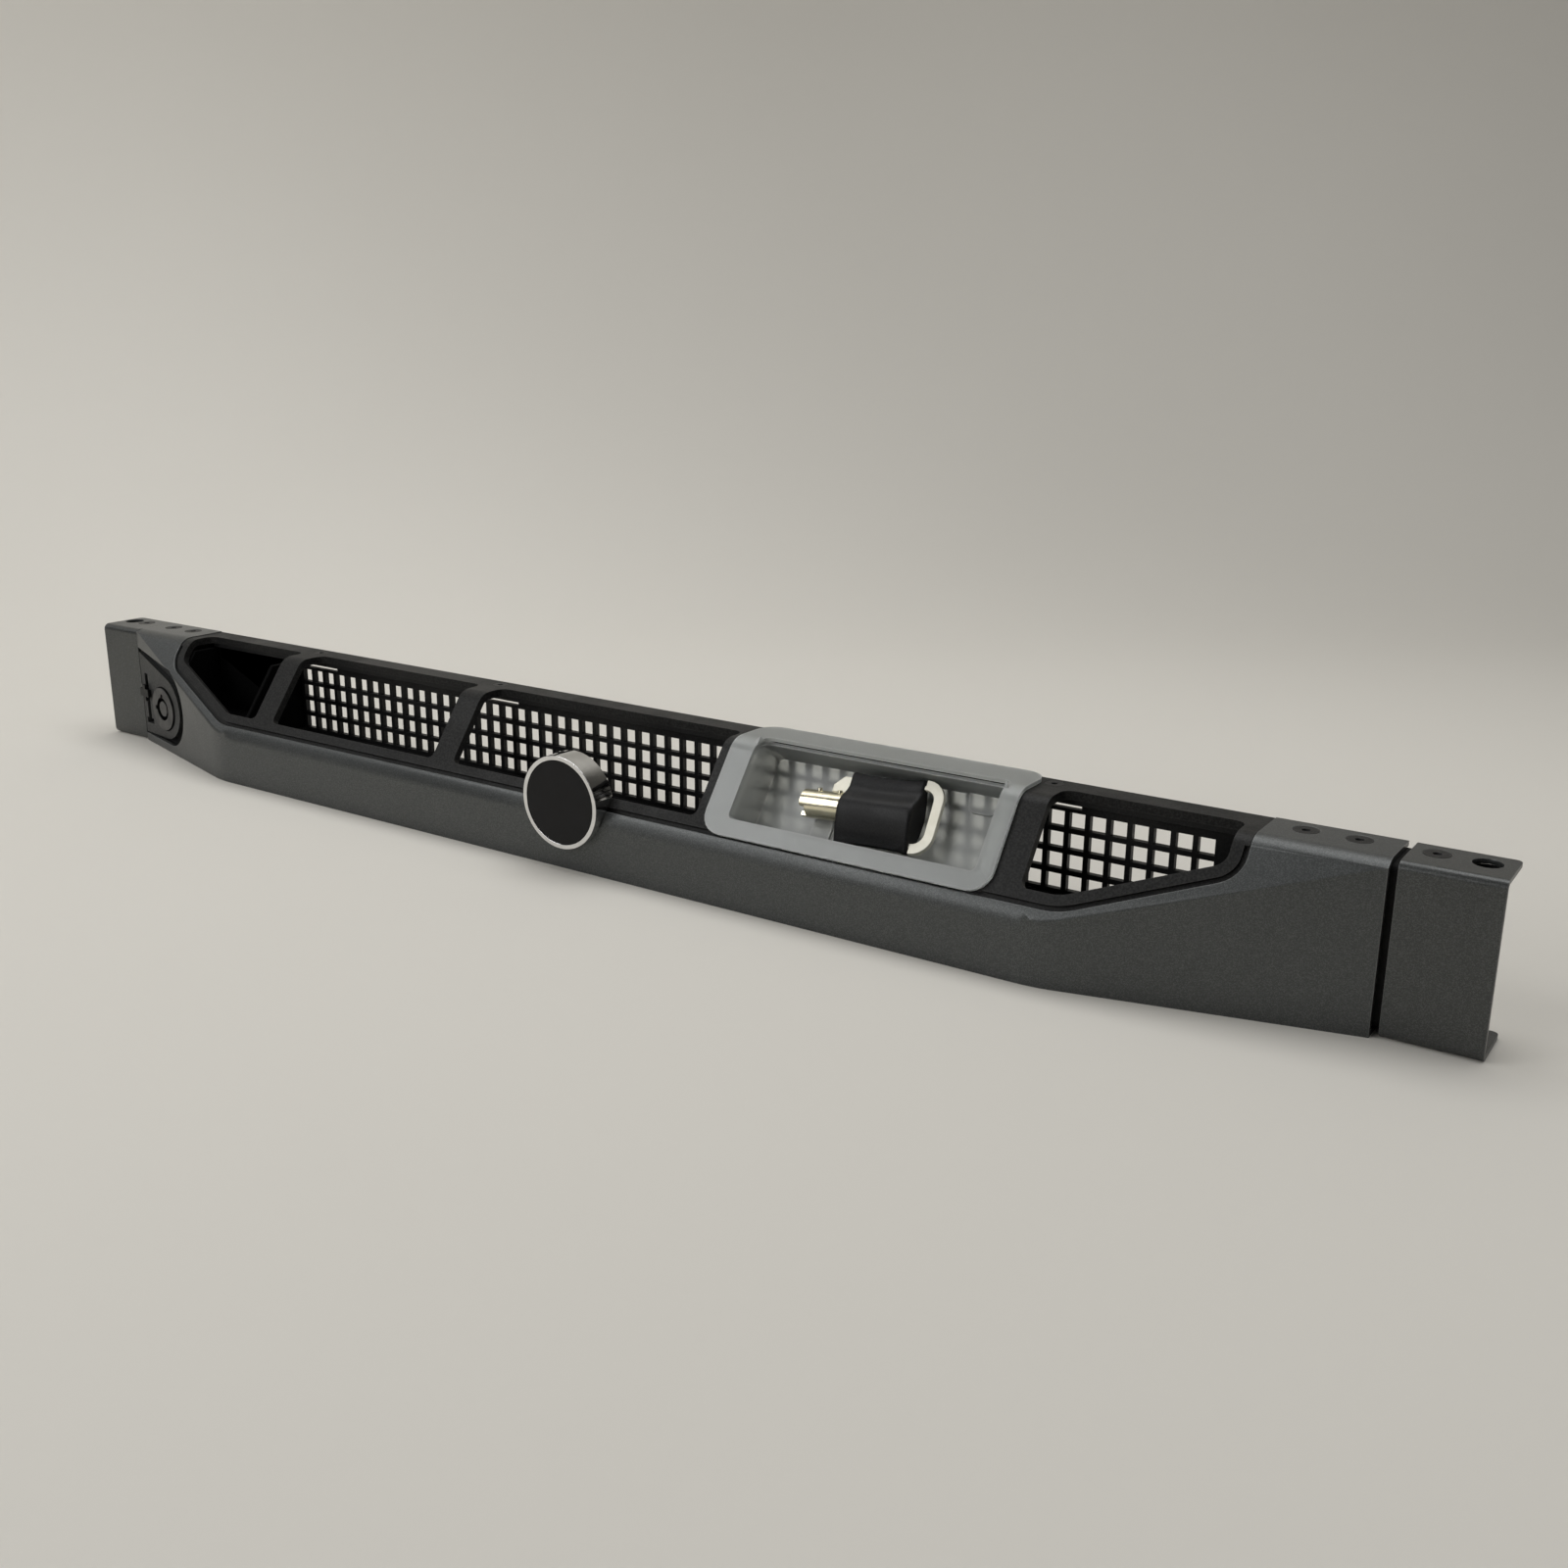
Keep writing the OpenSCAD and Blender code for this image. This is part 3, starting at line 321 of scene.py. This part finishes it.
def make_edge_group():
    """Mask of rubbed edges: where the rounded normal leaves the true one, broken up."""
    tree, given, out = new_group(
        "Edge Wear",
        [("Radius", "NodeSocketFloat", 0.0006), ("Broken", "NodeSocketFloat", 0.6)],
        [("Mask", "NodeSocketFloat")])
    place = add(tree, "TexCoord").outputs["Object"]
    soft = add(tree, "Bevel", samples=4, Radius=given.outputs["Radius"])
    true = add(tree, "NewGeometry")
    dot = add(tree, "VectorMath", operation="DOT_PRODUCT")
    plug(tree, soft.outputs[0], dot.inputs[0])
    plug(tree, true.outputs["Normal"], dot.inputs[1])
    edge = spread(tree, dot.outputs["Value"], low=0.995, high=0.90)
    noise = add(tree, "TexNoise", Vector=place, Scale=350.0, Detail=4.0, Roughness=0.7)
    breaks = spread(tree, noise.outputs["Fac"], low=0.35, high=0.62)
    kept = maths(tree, "SUBTRACT", 1.0, maths(
        tree, "MULTIPLY", given.outputs["Broken"], maths(tree, "SUBTRACT", 1.0, breaks)))
    plug(tree, maths(tree, "MULTIPLY", edge, kept), out.inputs["Mask"])
    return tree


def make_brush_group():
    """Fine lines of rolled or brushed metal along one direction."""
    tree, given, out = new_group(
        "Brushed Lines",
        [("Stretch", "NodeSocketVector", (60.0, 2500.0, 2500.0))],
        [("Lines", "NodeSocketFloat"), ("Blotches", "NodeSocketFloat")])
    place = add(tree, "TexCoord").outputs["Object"]
    scaled = add(tree, "VectorMath", operation="MULTIPLY")
    plug(tree, place, scaled.inputs[0])
    plug(tree, given.outputs["Stretch"], scaled.inputs[1])
    lines = add(tree, "TexNoise", Vector=scaled.outputs[0], Scale=1.0, Detail=3.0,
                Roughness=0.6)
    slow = add(tree, "TexNoise", Vector=place, Scale=160.0, Detail=3.0, Roughness=0.6)
    plug(tree, spread(tree, lines.outputs["Fac"], low=0.3, high=0.7), out.inputs["Lines"])
    plug(tree, spread(tree, slow.outputs["Fac"], low=0.35, high=0.65),
         out.inputs["Blotches"])
    return tree


GROUPS = {"flake": make_flake_group(), "grain": make_grain_group(),
          "edge": make_edge_group(), "brush": make_brush_group()}


def use(tree, group, **values):
    """Places a shader group in a material, with its own values."""
    node = tree.nodes.new("ShaderNodeGroup")
    node.node_tree = GROUPS[group]
    for key, value in values.items():
        plug(tree, value, node.inputs[key.replace("_", " ")])
    return node.outputs


# ---- Materials ----

def new_material(name, **sockets):
    """Material with a Principled shader. Plain values go on the shader's own sockets."""
    material = bpy.data.materials.new(name)
    material.use_nodes = True
    tree = material.node_tree
    shader = tree.nodes["Principled BSDF"]
    for key, value in sockets.items():
        shader.inputs[key.replace("_", " ")].default_value = value
    return material, tree, shader.inputs


def rgb(red, green, blue):
    return (red, green, blue, 1.0)


def raise_surface(tree, height, sockets, depth, strength=1.0):
    """Bump of depth millimetres from a height that runs from 0 to 1."""
    bump = add(tree, "Bump", Height=height, Distance=depth * MM, Strength=strength)
    plug(tree, bump.outputs["Normal"], sockets["Normal"])


def vary_roughness(tree, mask, sockets, rough):
    """Roughness from the first value to the second as the mask goes from 0 to 1."""
    plug(tree, spread(tree, mask, 0.0, 1.0, *rough), sockets["Roughness"])


def metallic_paint(name, dark, light, worn, rubbed=0.35):
    """Dark satin paint with metal flakes, a little lighter where its edges are rubbed."""
    material, tree, sockets = new_material(name, Metallic=0.5, IOR=1.5, Coat_Weight=0.12,
                                           Coat_Roughness=0.32)
    flake = use(tree, "flake")
    edge = use(tree, "edge", Radius=0.0005)
    grain = use(tree, "grain", Patch=22.0)
    base = blend_colours(tree, flake["Mask"], dark, light)
    wear = maths(tree, "MULTIPLY", edge["Mask"], rubbed)
    plug(tree, blend_colours(tree, wear, base, worn), sockets["Base Color"])
    vary_roughness(tree, grain["Patches"], sockets, (0.33, 0.40))
    raise_surface(tree, flake["Height"], sockets, depth=0.01, strength=0.25)
    return material


def moulded_plastic(name, dark, light, rough, grains=1800.0, depth=0.04, rubbed=0.3,
                    gloss=0.32):
    """Textured black or grey plastic, paler where its edges are rubbed."""
    material, tree, sockets = new_material(name, IOR=1.45, Specular_IOR_Level=gloss)
    grain = use(tree, "grain", Grains_per_Metre=grains)
    edge = use(tree, "edge", Radius=0.0005)
    base = blend_colours(tree, grain["Speckle"], dark, light)
    gain, lift = 2.2, 0.01
    worn = rgb(*(min(1.0, gain * part + lift) for part in light[:3]))
    wear = maths(tree, "MULTIPLY", edge["Mask"], rubbed)
    plug(tree, blend_colours(tree, wear, base, worn), sockets["Base Color"])
    vary_roughness(tree, grain["Patches"], sockets, rough)
    raise_surface(tree, grain["Height"], sockets, depth, strength=0.6)
    return material


def plated_metal(name, dark, light, rough, stretch=(60.0, 2500.0, 2500.0), depth=0.006,
                 metallic=1.0):
    """Plated or bare metal with faint lines."""
    material, tree, sockets = new_material(name, Metallic=metallic)
    brush = use(tree, "brush", Stretch=stretch)
    plug(tree, blend_colours(tree, brush["Blotches"], dark, light), sockets["Base Color"])
    vary_roughness(tree, brush["Lines"], sockets, rough)
    raise_surface(tree, brush["Lines"], sockets, depth, strength=0.5)
    return material


def gloss_black(name):
    """Glossy face of the badge: deep black with faint wipe marks."""
    material, tree, sockets = new_material(name, IOR=1.5, Specular_IOR_Level=0.22)
    grain = use(tree, "grain", Grains_per_Metre=900.0, Patch=220.0)
    plug(tree, blend_colours(tree, grain["Patches"], rgb(0.002, 0.0022, 0.003),
                             rgb(0.004, 0.0043, 0.0055)), sockets["Base Color"])
    vary_roughness(tree, grain["Patches"], sockets, (0.16, 0.26))
    return material


def frosted_plastic(name, node, out):
    """Milky, translucent plastic, darker in its pocket from painted shade, paler on its rim
    from painted light, with painted highlights along its edges.
    The rim is what stands furthest out in the node's mesh."""
    rim = max(out.dot(vert.co) for vert in nodes[node].data.vertices)
    rim_depth, pocket_depth = 1.5 * MM, 3.5 * MM
    material, tree, sockets = new_material(name, IOR=1.44, Transmission_Weight=0.74)
    grain = use(tree, "grain", Grains_per_Metre=1500.0, Patch=60.0)
    edge = use(tree, "edge", Radius=0.001, Broken=0.1)
    reach = add(tree, "VectorMath", operation="DOT_PRODUCT")
    plug(tree, add(tree, "TexCoord").outputs["Object"], reach.inputs[0])
    plug(tree, out, reach.inputs[1])
    # painted shade and painted light: the colour runs from a darker pocket to a paler rim by
    # how far the surface stands out
    raised = spread(tree, reach.outputs["Value"], low=rim - pocket_depth, high=rim - rim_depth)
    shaded_pocket = blend_colours(tree, grain["Patches"], rgb(0.60, 0.625, 0.61),
                           rgb(0.65, 0.675, 0.66))
    lit_brim = blend_colours(tree, grain["Patches"], rgb(0.81, 0.84, 0.825),
                         rgb(0.86, 0.89, 0.875))
    milk_and_painted_light = blend_colours(tree, raised, shaded_pocket, lit_brim)
    # painted highlight: the tray's edges are blended towards near-white
    plug(tree, blend_colours(tree, edge["Mask"], milk_and_painted_light, rgb(0.97, 0.98, 0.97)),
         sockets["Base Color"])
    vary_roughness(tree, grain["Patches"], sockets, (0.29, 0.34))
    return material


def floor_material(name):
    """Pale matt sweep, with painted shade that makes it darker where it rises. Its back is
    clear, so that the bezel can be seen from behind."""
    material = bpy.data.materials.new(name)
    material.use_nodes = True
    tree = material.node_tree
    shader = tree.nodes["Principled BSDF"]
    shader.inputs["Roughness"].default_value = 0.8
    shader.inputs["Specular IOR Level"].default_value = 0.2
    place = add(tree, "TexCoord").outputs["Object"]
    slow = add(tree, "TexNoise", Vector=place, Scale=2.5, Detail=3.0, Roughness=0.5)
    flat = blend_colours(tree, slow.outputs["Fac"], rgb(0.725, 0.70, 0.642),
                         rgb(0.765, 0.74, 0.683))
    # painted shade: the rising wall gets a darker colour than the floor, in place of light
    # falling off
    upright = blend_colours(tree, slow.outputs["Fac"], rgb(0.53, 0.51, 0.465),
                            rgb(0.57, 0.55, 0.505))
    way = add(tree, "SeparateXYZ")
    plug(tree, place, way.inputs["Vector"])
    behind = spread(tree, way.outputs["Y"], low=0.15, high=0.60)
    plug(tree, blend_colours(tree, behind, flat, upright), shader.inputs["Base Color"])
    clear = add(tree, "BsdfTransparent")
    back = add(tree, "NewGeometry").outputs["Backfacing"]
    either = add(tree, "MixShader")
    plug(tree, back, either.inputs[0])
    plug(tree, shader.outputs[0], either.inputs[1])
    plug(tree, clear.outputs[0], either.inputs[2])
    plug(tree, either.outputs[0], tree.nodes["Material Output"].inputs["Surface"])
    return material


RUBBED_PAINT = rgb(0.30, 0.305, 0.30)
PAINT = metallic_paint("shell_paint", rgb(0.064, 0.068, 0.068), rgb(0.109, 0.115, 0.114),
                       RUBBED_PAINT)
EAR_PAINT = metallic_paint("ear_paint", rgb(0.055, 0.058, 0.057),
                           rgb(0.097, 0.101, 0.099), RUBBED_PAINT)
FRAME_BLACK = moulded_plastic("frame_black", rgb(0.009, 0.009, 0.009),
                              rgb(0.026, 0.026, 0.025), (0.42, 0.54), gloss=0.22)
GRILLE_BLACK = moulded_plastic("grille_black", rgb(0.004, 0.004, 0.0045),
                               rgb(0.011, 0.011, 0.011), (0.42, 0.55))
BAFFLE_BLACK = moulded_plastic("baffle_black", rgb(0.0008, 0.0008, 0.0009),
                               rgb(0.0022, 0.0022, 0.0022), (0.7, 0.8), gloss=0.08)
SEAT_GREY = moulded_plastic("seat_grey", rgb(0.035, 0.036, 0.036), rgb(0.062, 0.063, 0.062),
                            (0.42, 0.52))
BRACKET_BLACK = moulded_plastic("bracket_black", rgb(0.003, 0.003, 0.003),
                                rgb(0.008, 0.008, 0.008), (0.5, 0.65), gloss=0.2)
LATCH_BLACK = moulded_plastic("latch_black", rgb(0.004, 0.004, 0.0045),
                              rgb(0.010, 0.010, 0.010), (0.35, 0.45))
GRIP_BLACK = moulded_plastic("grip_black", rgb(0.006, 0.006, 0.0066),
                             rgb(0.014, 0.014, 0.0145), (0.40, 0.50), grains=2600.0,
                             depth=0.02, rubbed=0.2)
LOCK_DARK = plated_metal("lock_metal", rgb(0.07, 0.07, 0.072), rgb(0.11, 0.11, 0.112),
                         (0.32, 0.45), stretch=(2500.0, 2500.0, 60.0))
ZINC = plated_metal("zinc_plate", rgb(0.42, 0.43, 0.45), rgb(0.55, 0.56, 0.57),
                    (0.28, 0.42))
SPRING = plated_metal("spring_steel", rgb(0.45, 0.45, 0.46), rgb(0.6, 0.6, 0.61),
                      (0.22, 0.35))
CHROME = plated_metal("badge_chrome", rgb(0.72, 0.72, 0.72), rgb(0.80, 0.80, 0.80),
                      (0.05, 0.10), stretch=(400.0, 400.0, 400.0), depth=0.001)
CLIP_STEEL = plated_metal("clip_steel", rgb(0.30, 0.30, 0.31), rgb(0.40, 0.40, 0.41),
                          (0.3, 0.4))
NICKEL = plated_metal("key_nickel", rgb(0.78, 0.72, 0.53), rgb(0.90, 0.85, 0.66),
                      (0.16, 0.26), depth=0.001, metallic=0.9)
BOW_STEEL = plated_metal("bow_steel", rgb(0.90, 0.87, 0.73), rgb(0.96, 0.93, 0.80),
                         (0.30, 0.40), stretch=(400.0, 400.0, 400.0), depth=0.0005,
                         metallic=0.1)
SCREW_BLACK = moulded_plastic("screw_black", rgb(0.007, 0.007, 0.007),
                              rgb(0.018, 0.018, 0.018), (0.35, 0.5), grains=2200.0,
                              depth=0.02, rubbed=0.8)
BADGE_BLACK = gloss_black("badge_black")
HOLDER_FROST = frosted_plastic("holder_frost", "key_holder", SLOPE_OUT)


# ---- The painted shell ----

ALIGNED = 0.999  # from here on, two directions are the same
LEVEL = 0.02  # up to here, a direction neither rises nor falls
FRONTWARD = -0.5  # below this, a direction's Y points to the front
SHEER_CUT = 70  # degrees from which an edge of the sloping face is a cut
LONG_ROLL = 2.4  # millimetres that the sheet is rolled over its long crease
SHORT_ROLL = 0.8
CUT_ROUND = 0.3


def is_crease(edge):
    """An edge of the painted sheet between the chin and the sloping face."""
    chin, slope = sorted((face.normal for face in edge.link_faces), key=lambda way: way.z)
    upright = abs(chin.z) < LEVEL
    faces_front = chin.y < FRONTWARD
    return upright and faces_front and slope.dot(SLOPE_OUT) > ALIGNED


def is_long_crease(edge):
    """The straight run of the crease, in front of the windows."""
    return is_crease(edge) and min(face.normal.y for face in edge.link_faces) < -ALIGNED


def is_cut(edge):
    """An edge of the painted sheet where it is cut away round the windows."""
    outer = max(face.normal.dot(SLOPE_OUT) for face in edge.link_faces)
    return outer > ALIGNED and edge.calc_face_angle(0) > radians(SHEER_CUT)


def round_sheet(bm):
    """Rolls the sheet over its crease and rounds the cut edge round the windows."""
    soften(bm, is_long_crease, LONG_ROLL, 8, clamp=False)
    soften(bm, is_crease, SHORT_ROLL, 4, clamp=False)
    soften(bm, is_cut, CUT_ROUND, 3, clamp=False)


# ---- Pieces with softened edges ----

PIECES = (  # piece, CAD node, material, slot, edge width in millimetres, steps in the edge
    ("ear_left", "left_ear", EAR_PAINT, "ear_paint", 0.22, 2),
    ("ear_right", "right_ear", EAR_PAINT, "ear_paint", 0.22, 2),
    ("window_surround", "window_frame", FRAME_BLACK, "frame_black", 0.3, 2),
    ("square_grille", "grille_panel", GRILLE_BLACK, "grille_black", 0.15, 1),
    ("side_wall", "side_baffle", BAFFLE_BLACK, "baffle_black", 0.2, 1),
    ("lock_seat", "lock_bracket", SEAT_GREY, "seat_grey", 0.2, 2),
    ("hook_channel", "hook_bracket", BRACKET_BLACK, "bracket_black", 0.2, 2),
    ("barrel", "lock_barrel", LOCK_DARK, "lock_metal", 0.2, 2),
    ("barrel_nut", "lock_nut", ZINC, "zinc_plate", 0.25, 2),
    ("plug", "lock_plug", LOCK_DARK, "lock_metal", 0.15, 2),
    ("cam", "lock_cam", ZINC, "zinc_plate", 0.15, 2),
    ("cam_fixing", "cam_screw", ZINC, "zinc_plate", 0.15, 2),
    ("latch_slide", "release_latch", LATCH_BLACK, "latch_black", 0.2, 2),
    ("badge_shell", "badge_cup", CHROME, "badge_chrome", 0.3, 3),
    ("badge_plate", "badge_face", BADGE_BLACK, "badge_black", 0.12, 2),
    ("stud_clips", "badge_clips", CLIP_STEEL, "clip_steel", 0.1, 1),
    ("frosted_tray", "key_holder", HOLDER_FROST, "holder_frost", 0.35, 3),
    ("key_shank", "key_tube", NICKEL, "key_nickel", 0.15, 2),
    ("key_loop", "key_bow", BOW_STEEL, "bow_steel", 0.35, 3),
    ("screws_shell", "shell_screws", SCREW_BLACK, "screw_black", 0.1, 1),
    ("screws_ear", "ear_screws", SCREW_BLACK, "screw_black", 0.1, 1),
    ("screws_frame", "frame_screws", SCREW_BLACK, "screw_black", 0.1, 1))


def dress(piece, node, material, slot, width, segments, before=None, angle=30):
    """Stands a copy of a CAD node, with its edges over this angle softened, in its place."""
    bm = merged(node)
    if before:
        before(bm)
    soften(bm, sharper_than(angle), width, segments)
    return finish_piece(object_from(bm, piece), material, body_of[node], [node])


def dress_all():
    dress("painted_front", "front_shell", PAINT, "shell_paint", 0.22, 2,
          before=round_sheet, angle=40)
    for row in PIECES:
        dress(*row)


# ---- Pieces of their own ----

HANDLE_PROFILE = [
    (0.0, 0.9, 0.9), (0.05, 1.3, 1.3), (0.12, 1.25, 1.9), (0.2, 1.3, 2.7), (0.3, 2.4, 3.5),
    (0.4, 3.9, 4.2), (0.48, 4.5, 4.5), (0.6, 4.3, 4.4), (0.72, 3.5, 4.0), (0.84, 2.5, 3.2),
    (0.93, 1.6, 2.2), (1.0, 0.9, 1.0)]


def make_handle():
    """Moulded handle of the key: thin along its top and bottom, thick in the middle,
    with a hollow for the thumb under its top lip. A row of HANDLE_PROFILE holds the share
    of the height, from the top down, and the millimetres to the front and to the back."""
    half_w, half_h, waist, steps = 10.8, 10.0, 0.7, 8
    rim_width, rim_steps, rim_angle, same_x = 0.8, 3, 60, 0.01
    longest_edge, smooth_angle = 1.5, 40
    low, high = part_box("key_grip")
    middle = (Vector(low) + Vector(high)) / 2
    tilt = Matrix.Rotation(radians(SLOPE_TILT), 3, "X")
    turn = Matrix.Rotation(radians(KEY_TURN), 3, "Z")
    bm = bmesh.new()
    front = [(down, z) for down, z, _ in HANDLE_PROFILE]
    back = [(down, -z) for down, _, z in reversed(HANDLE_PROFILE)]
    ring = [bm.verts.new((-half_w, half_h * (1 - 2 * down), z)) for down, z in front + back]
    end = bm.faces.new(ring)
    for step in range(steps):
        made = bmesh.ops.extrude_face_region(bm, geom=[end])["geom"]
        bmesh.ops.translate(bm, verts=verts_of(made), vec=(2 * half_w / steps, 0, 0))
        if step:  # the first end stays, and closes the handle
            bmesh.ops.delete(bm, geom=[end], context="FACES_ONLY")
        end = faces_of(made)[0]
    bmesh.ops.recalc_face_normals(bm, faces=bm.faces)
    for vert in bm.verts:
        vert.co.y *= 1 - waist / half_h * (1 - (vert.co.x / half_w) ** 2)
    rims = [edge for edge in bm.edges if edge.calc_face_angle(0) > radians(rim_angle)
            and abs(edge.verts[0].co.x - edge.verts[1].co.x) < same_x]
    bevel(bm, rims, rim_width, rim_steps)
    long_edges = [edge for edge in bm.edges if edge.calc_length() > longest_edge]
    bmesh.ops.subdivide_edges(bm, edges=long_edges, cuts=1, smooth=0.5, use_grid_fill=True)
    to_metres(bm)
    bmesh.ops.rotate(bm, verts=bm.verts, cent=(0, 0, 0), matrix=tilt @ turn)
    bmesh.ops.translate(bm, verts=bm.verts, vec=middle)
    handle = object_from(bm, "key_handle", smooth_angle)
    finish_piece(handle, GRIP_BLACK, body_of["key_grip"], ["key_grip"])


def make_spring():
    """Coil spring over the latch, as a copy with a mesh of its own."""
    coil = dress("coil_spring", "latch_spring", SPRING, "spring_steel", 0.05, 1, angle=60)
    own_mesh(coil)


def make_painted_shade_cups():
    """Shallow black cups under the ears' holes: painted shade that stands in for the shadowed
    channel and keeps the holes dark from above.
    """
    radius, top, depth, wall, around = 3.9, 39.6, 6.5, 0.5, 32
    hole_y = 10.0
    # painted shade: black cups in place of the shadow inside the ear channels
    for piece, x in (("ear_hole_shade_left", -236.8), ("ear_hole_shade_right", 235.0)):
        bm = bmesh.new()
        ring = bmesh.ops.create_circle(bm, cap_ends=True, radius=radius, segments=around)
        bmesh.ops.translate(bm, verts=ring["verts"], vec=(x, hole_y, top - depth))
        raised = bmesh.ops.extrude_edge_only(bm, edges=bm.edges[:])["geom"]
        bmesh.ops.translate(bm, verts=verts_of(raised), vec=(0, 0, depth))
        bmesh.ops.recalc_face_normals(bm, faces=bm.faces)
        bmesh.ops.solidify(bm, geom=bm.faces[:], thickness=wall)
        to_metres(bm)
        bmesh.ops.recalc_face_normals(bm, faces=bm.faces)
        finish_piece(object_from(bm, piece), BRACKET_BLACK, "root")


def make_sill():
    """Folded lip along the grille's foot, in front of its lowest row of holes."""
    foot, top, face, thickness, rounding = 10.5, 12.6, 11.9, 0.35, 0.1
    left_play, right_play = 0.3, 3.0
    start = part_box("side_baffle")[1][0] / MM + left_play
    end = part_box("grille_panel")[1][0] / MM - right_play
    bm = bmesh.new()
    corners = [bm.verts.new(place) for place in ((start, face, foot), (start, face, top),
                                                 (end, face, top), (end, face, foot))]
    sheet = bm.faces.new(corners)
    made = bmesh.ops.extrude_face_region(bm, geom=[sheet])["geom"]
    bmesh.ops.translate(bm, verts=verts_of(made), vec=(0, -thickness, 0))
    bmesh.ops.recalc_face_normals(bm, faces=bm.faces)
    bevel(bm, bm.edges[:], rounding, 2)
    to_metres(bm)
    finish_piece(object_from(bm, "grille_sill"), GRILLE_BLACK, "root")


make_camera()
make_sweep().data.materials.append(floor_material("pale_sweep"))
light_room()
dress_all()
make_handle()
make_spring()
make_painted_shade_cups()
make_sill()

scene.view_settings.view_transform = "Standard"
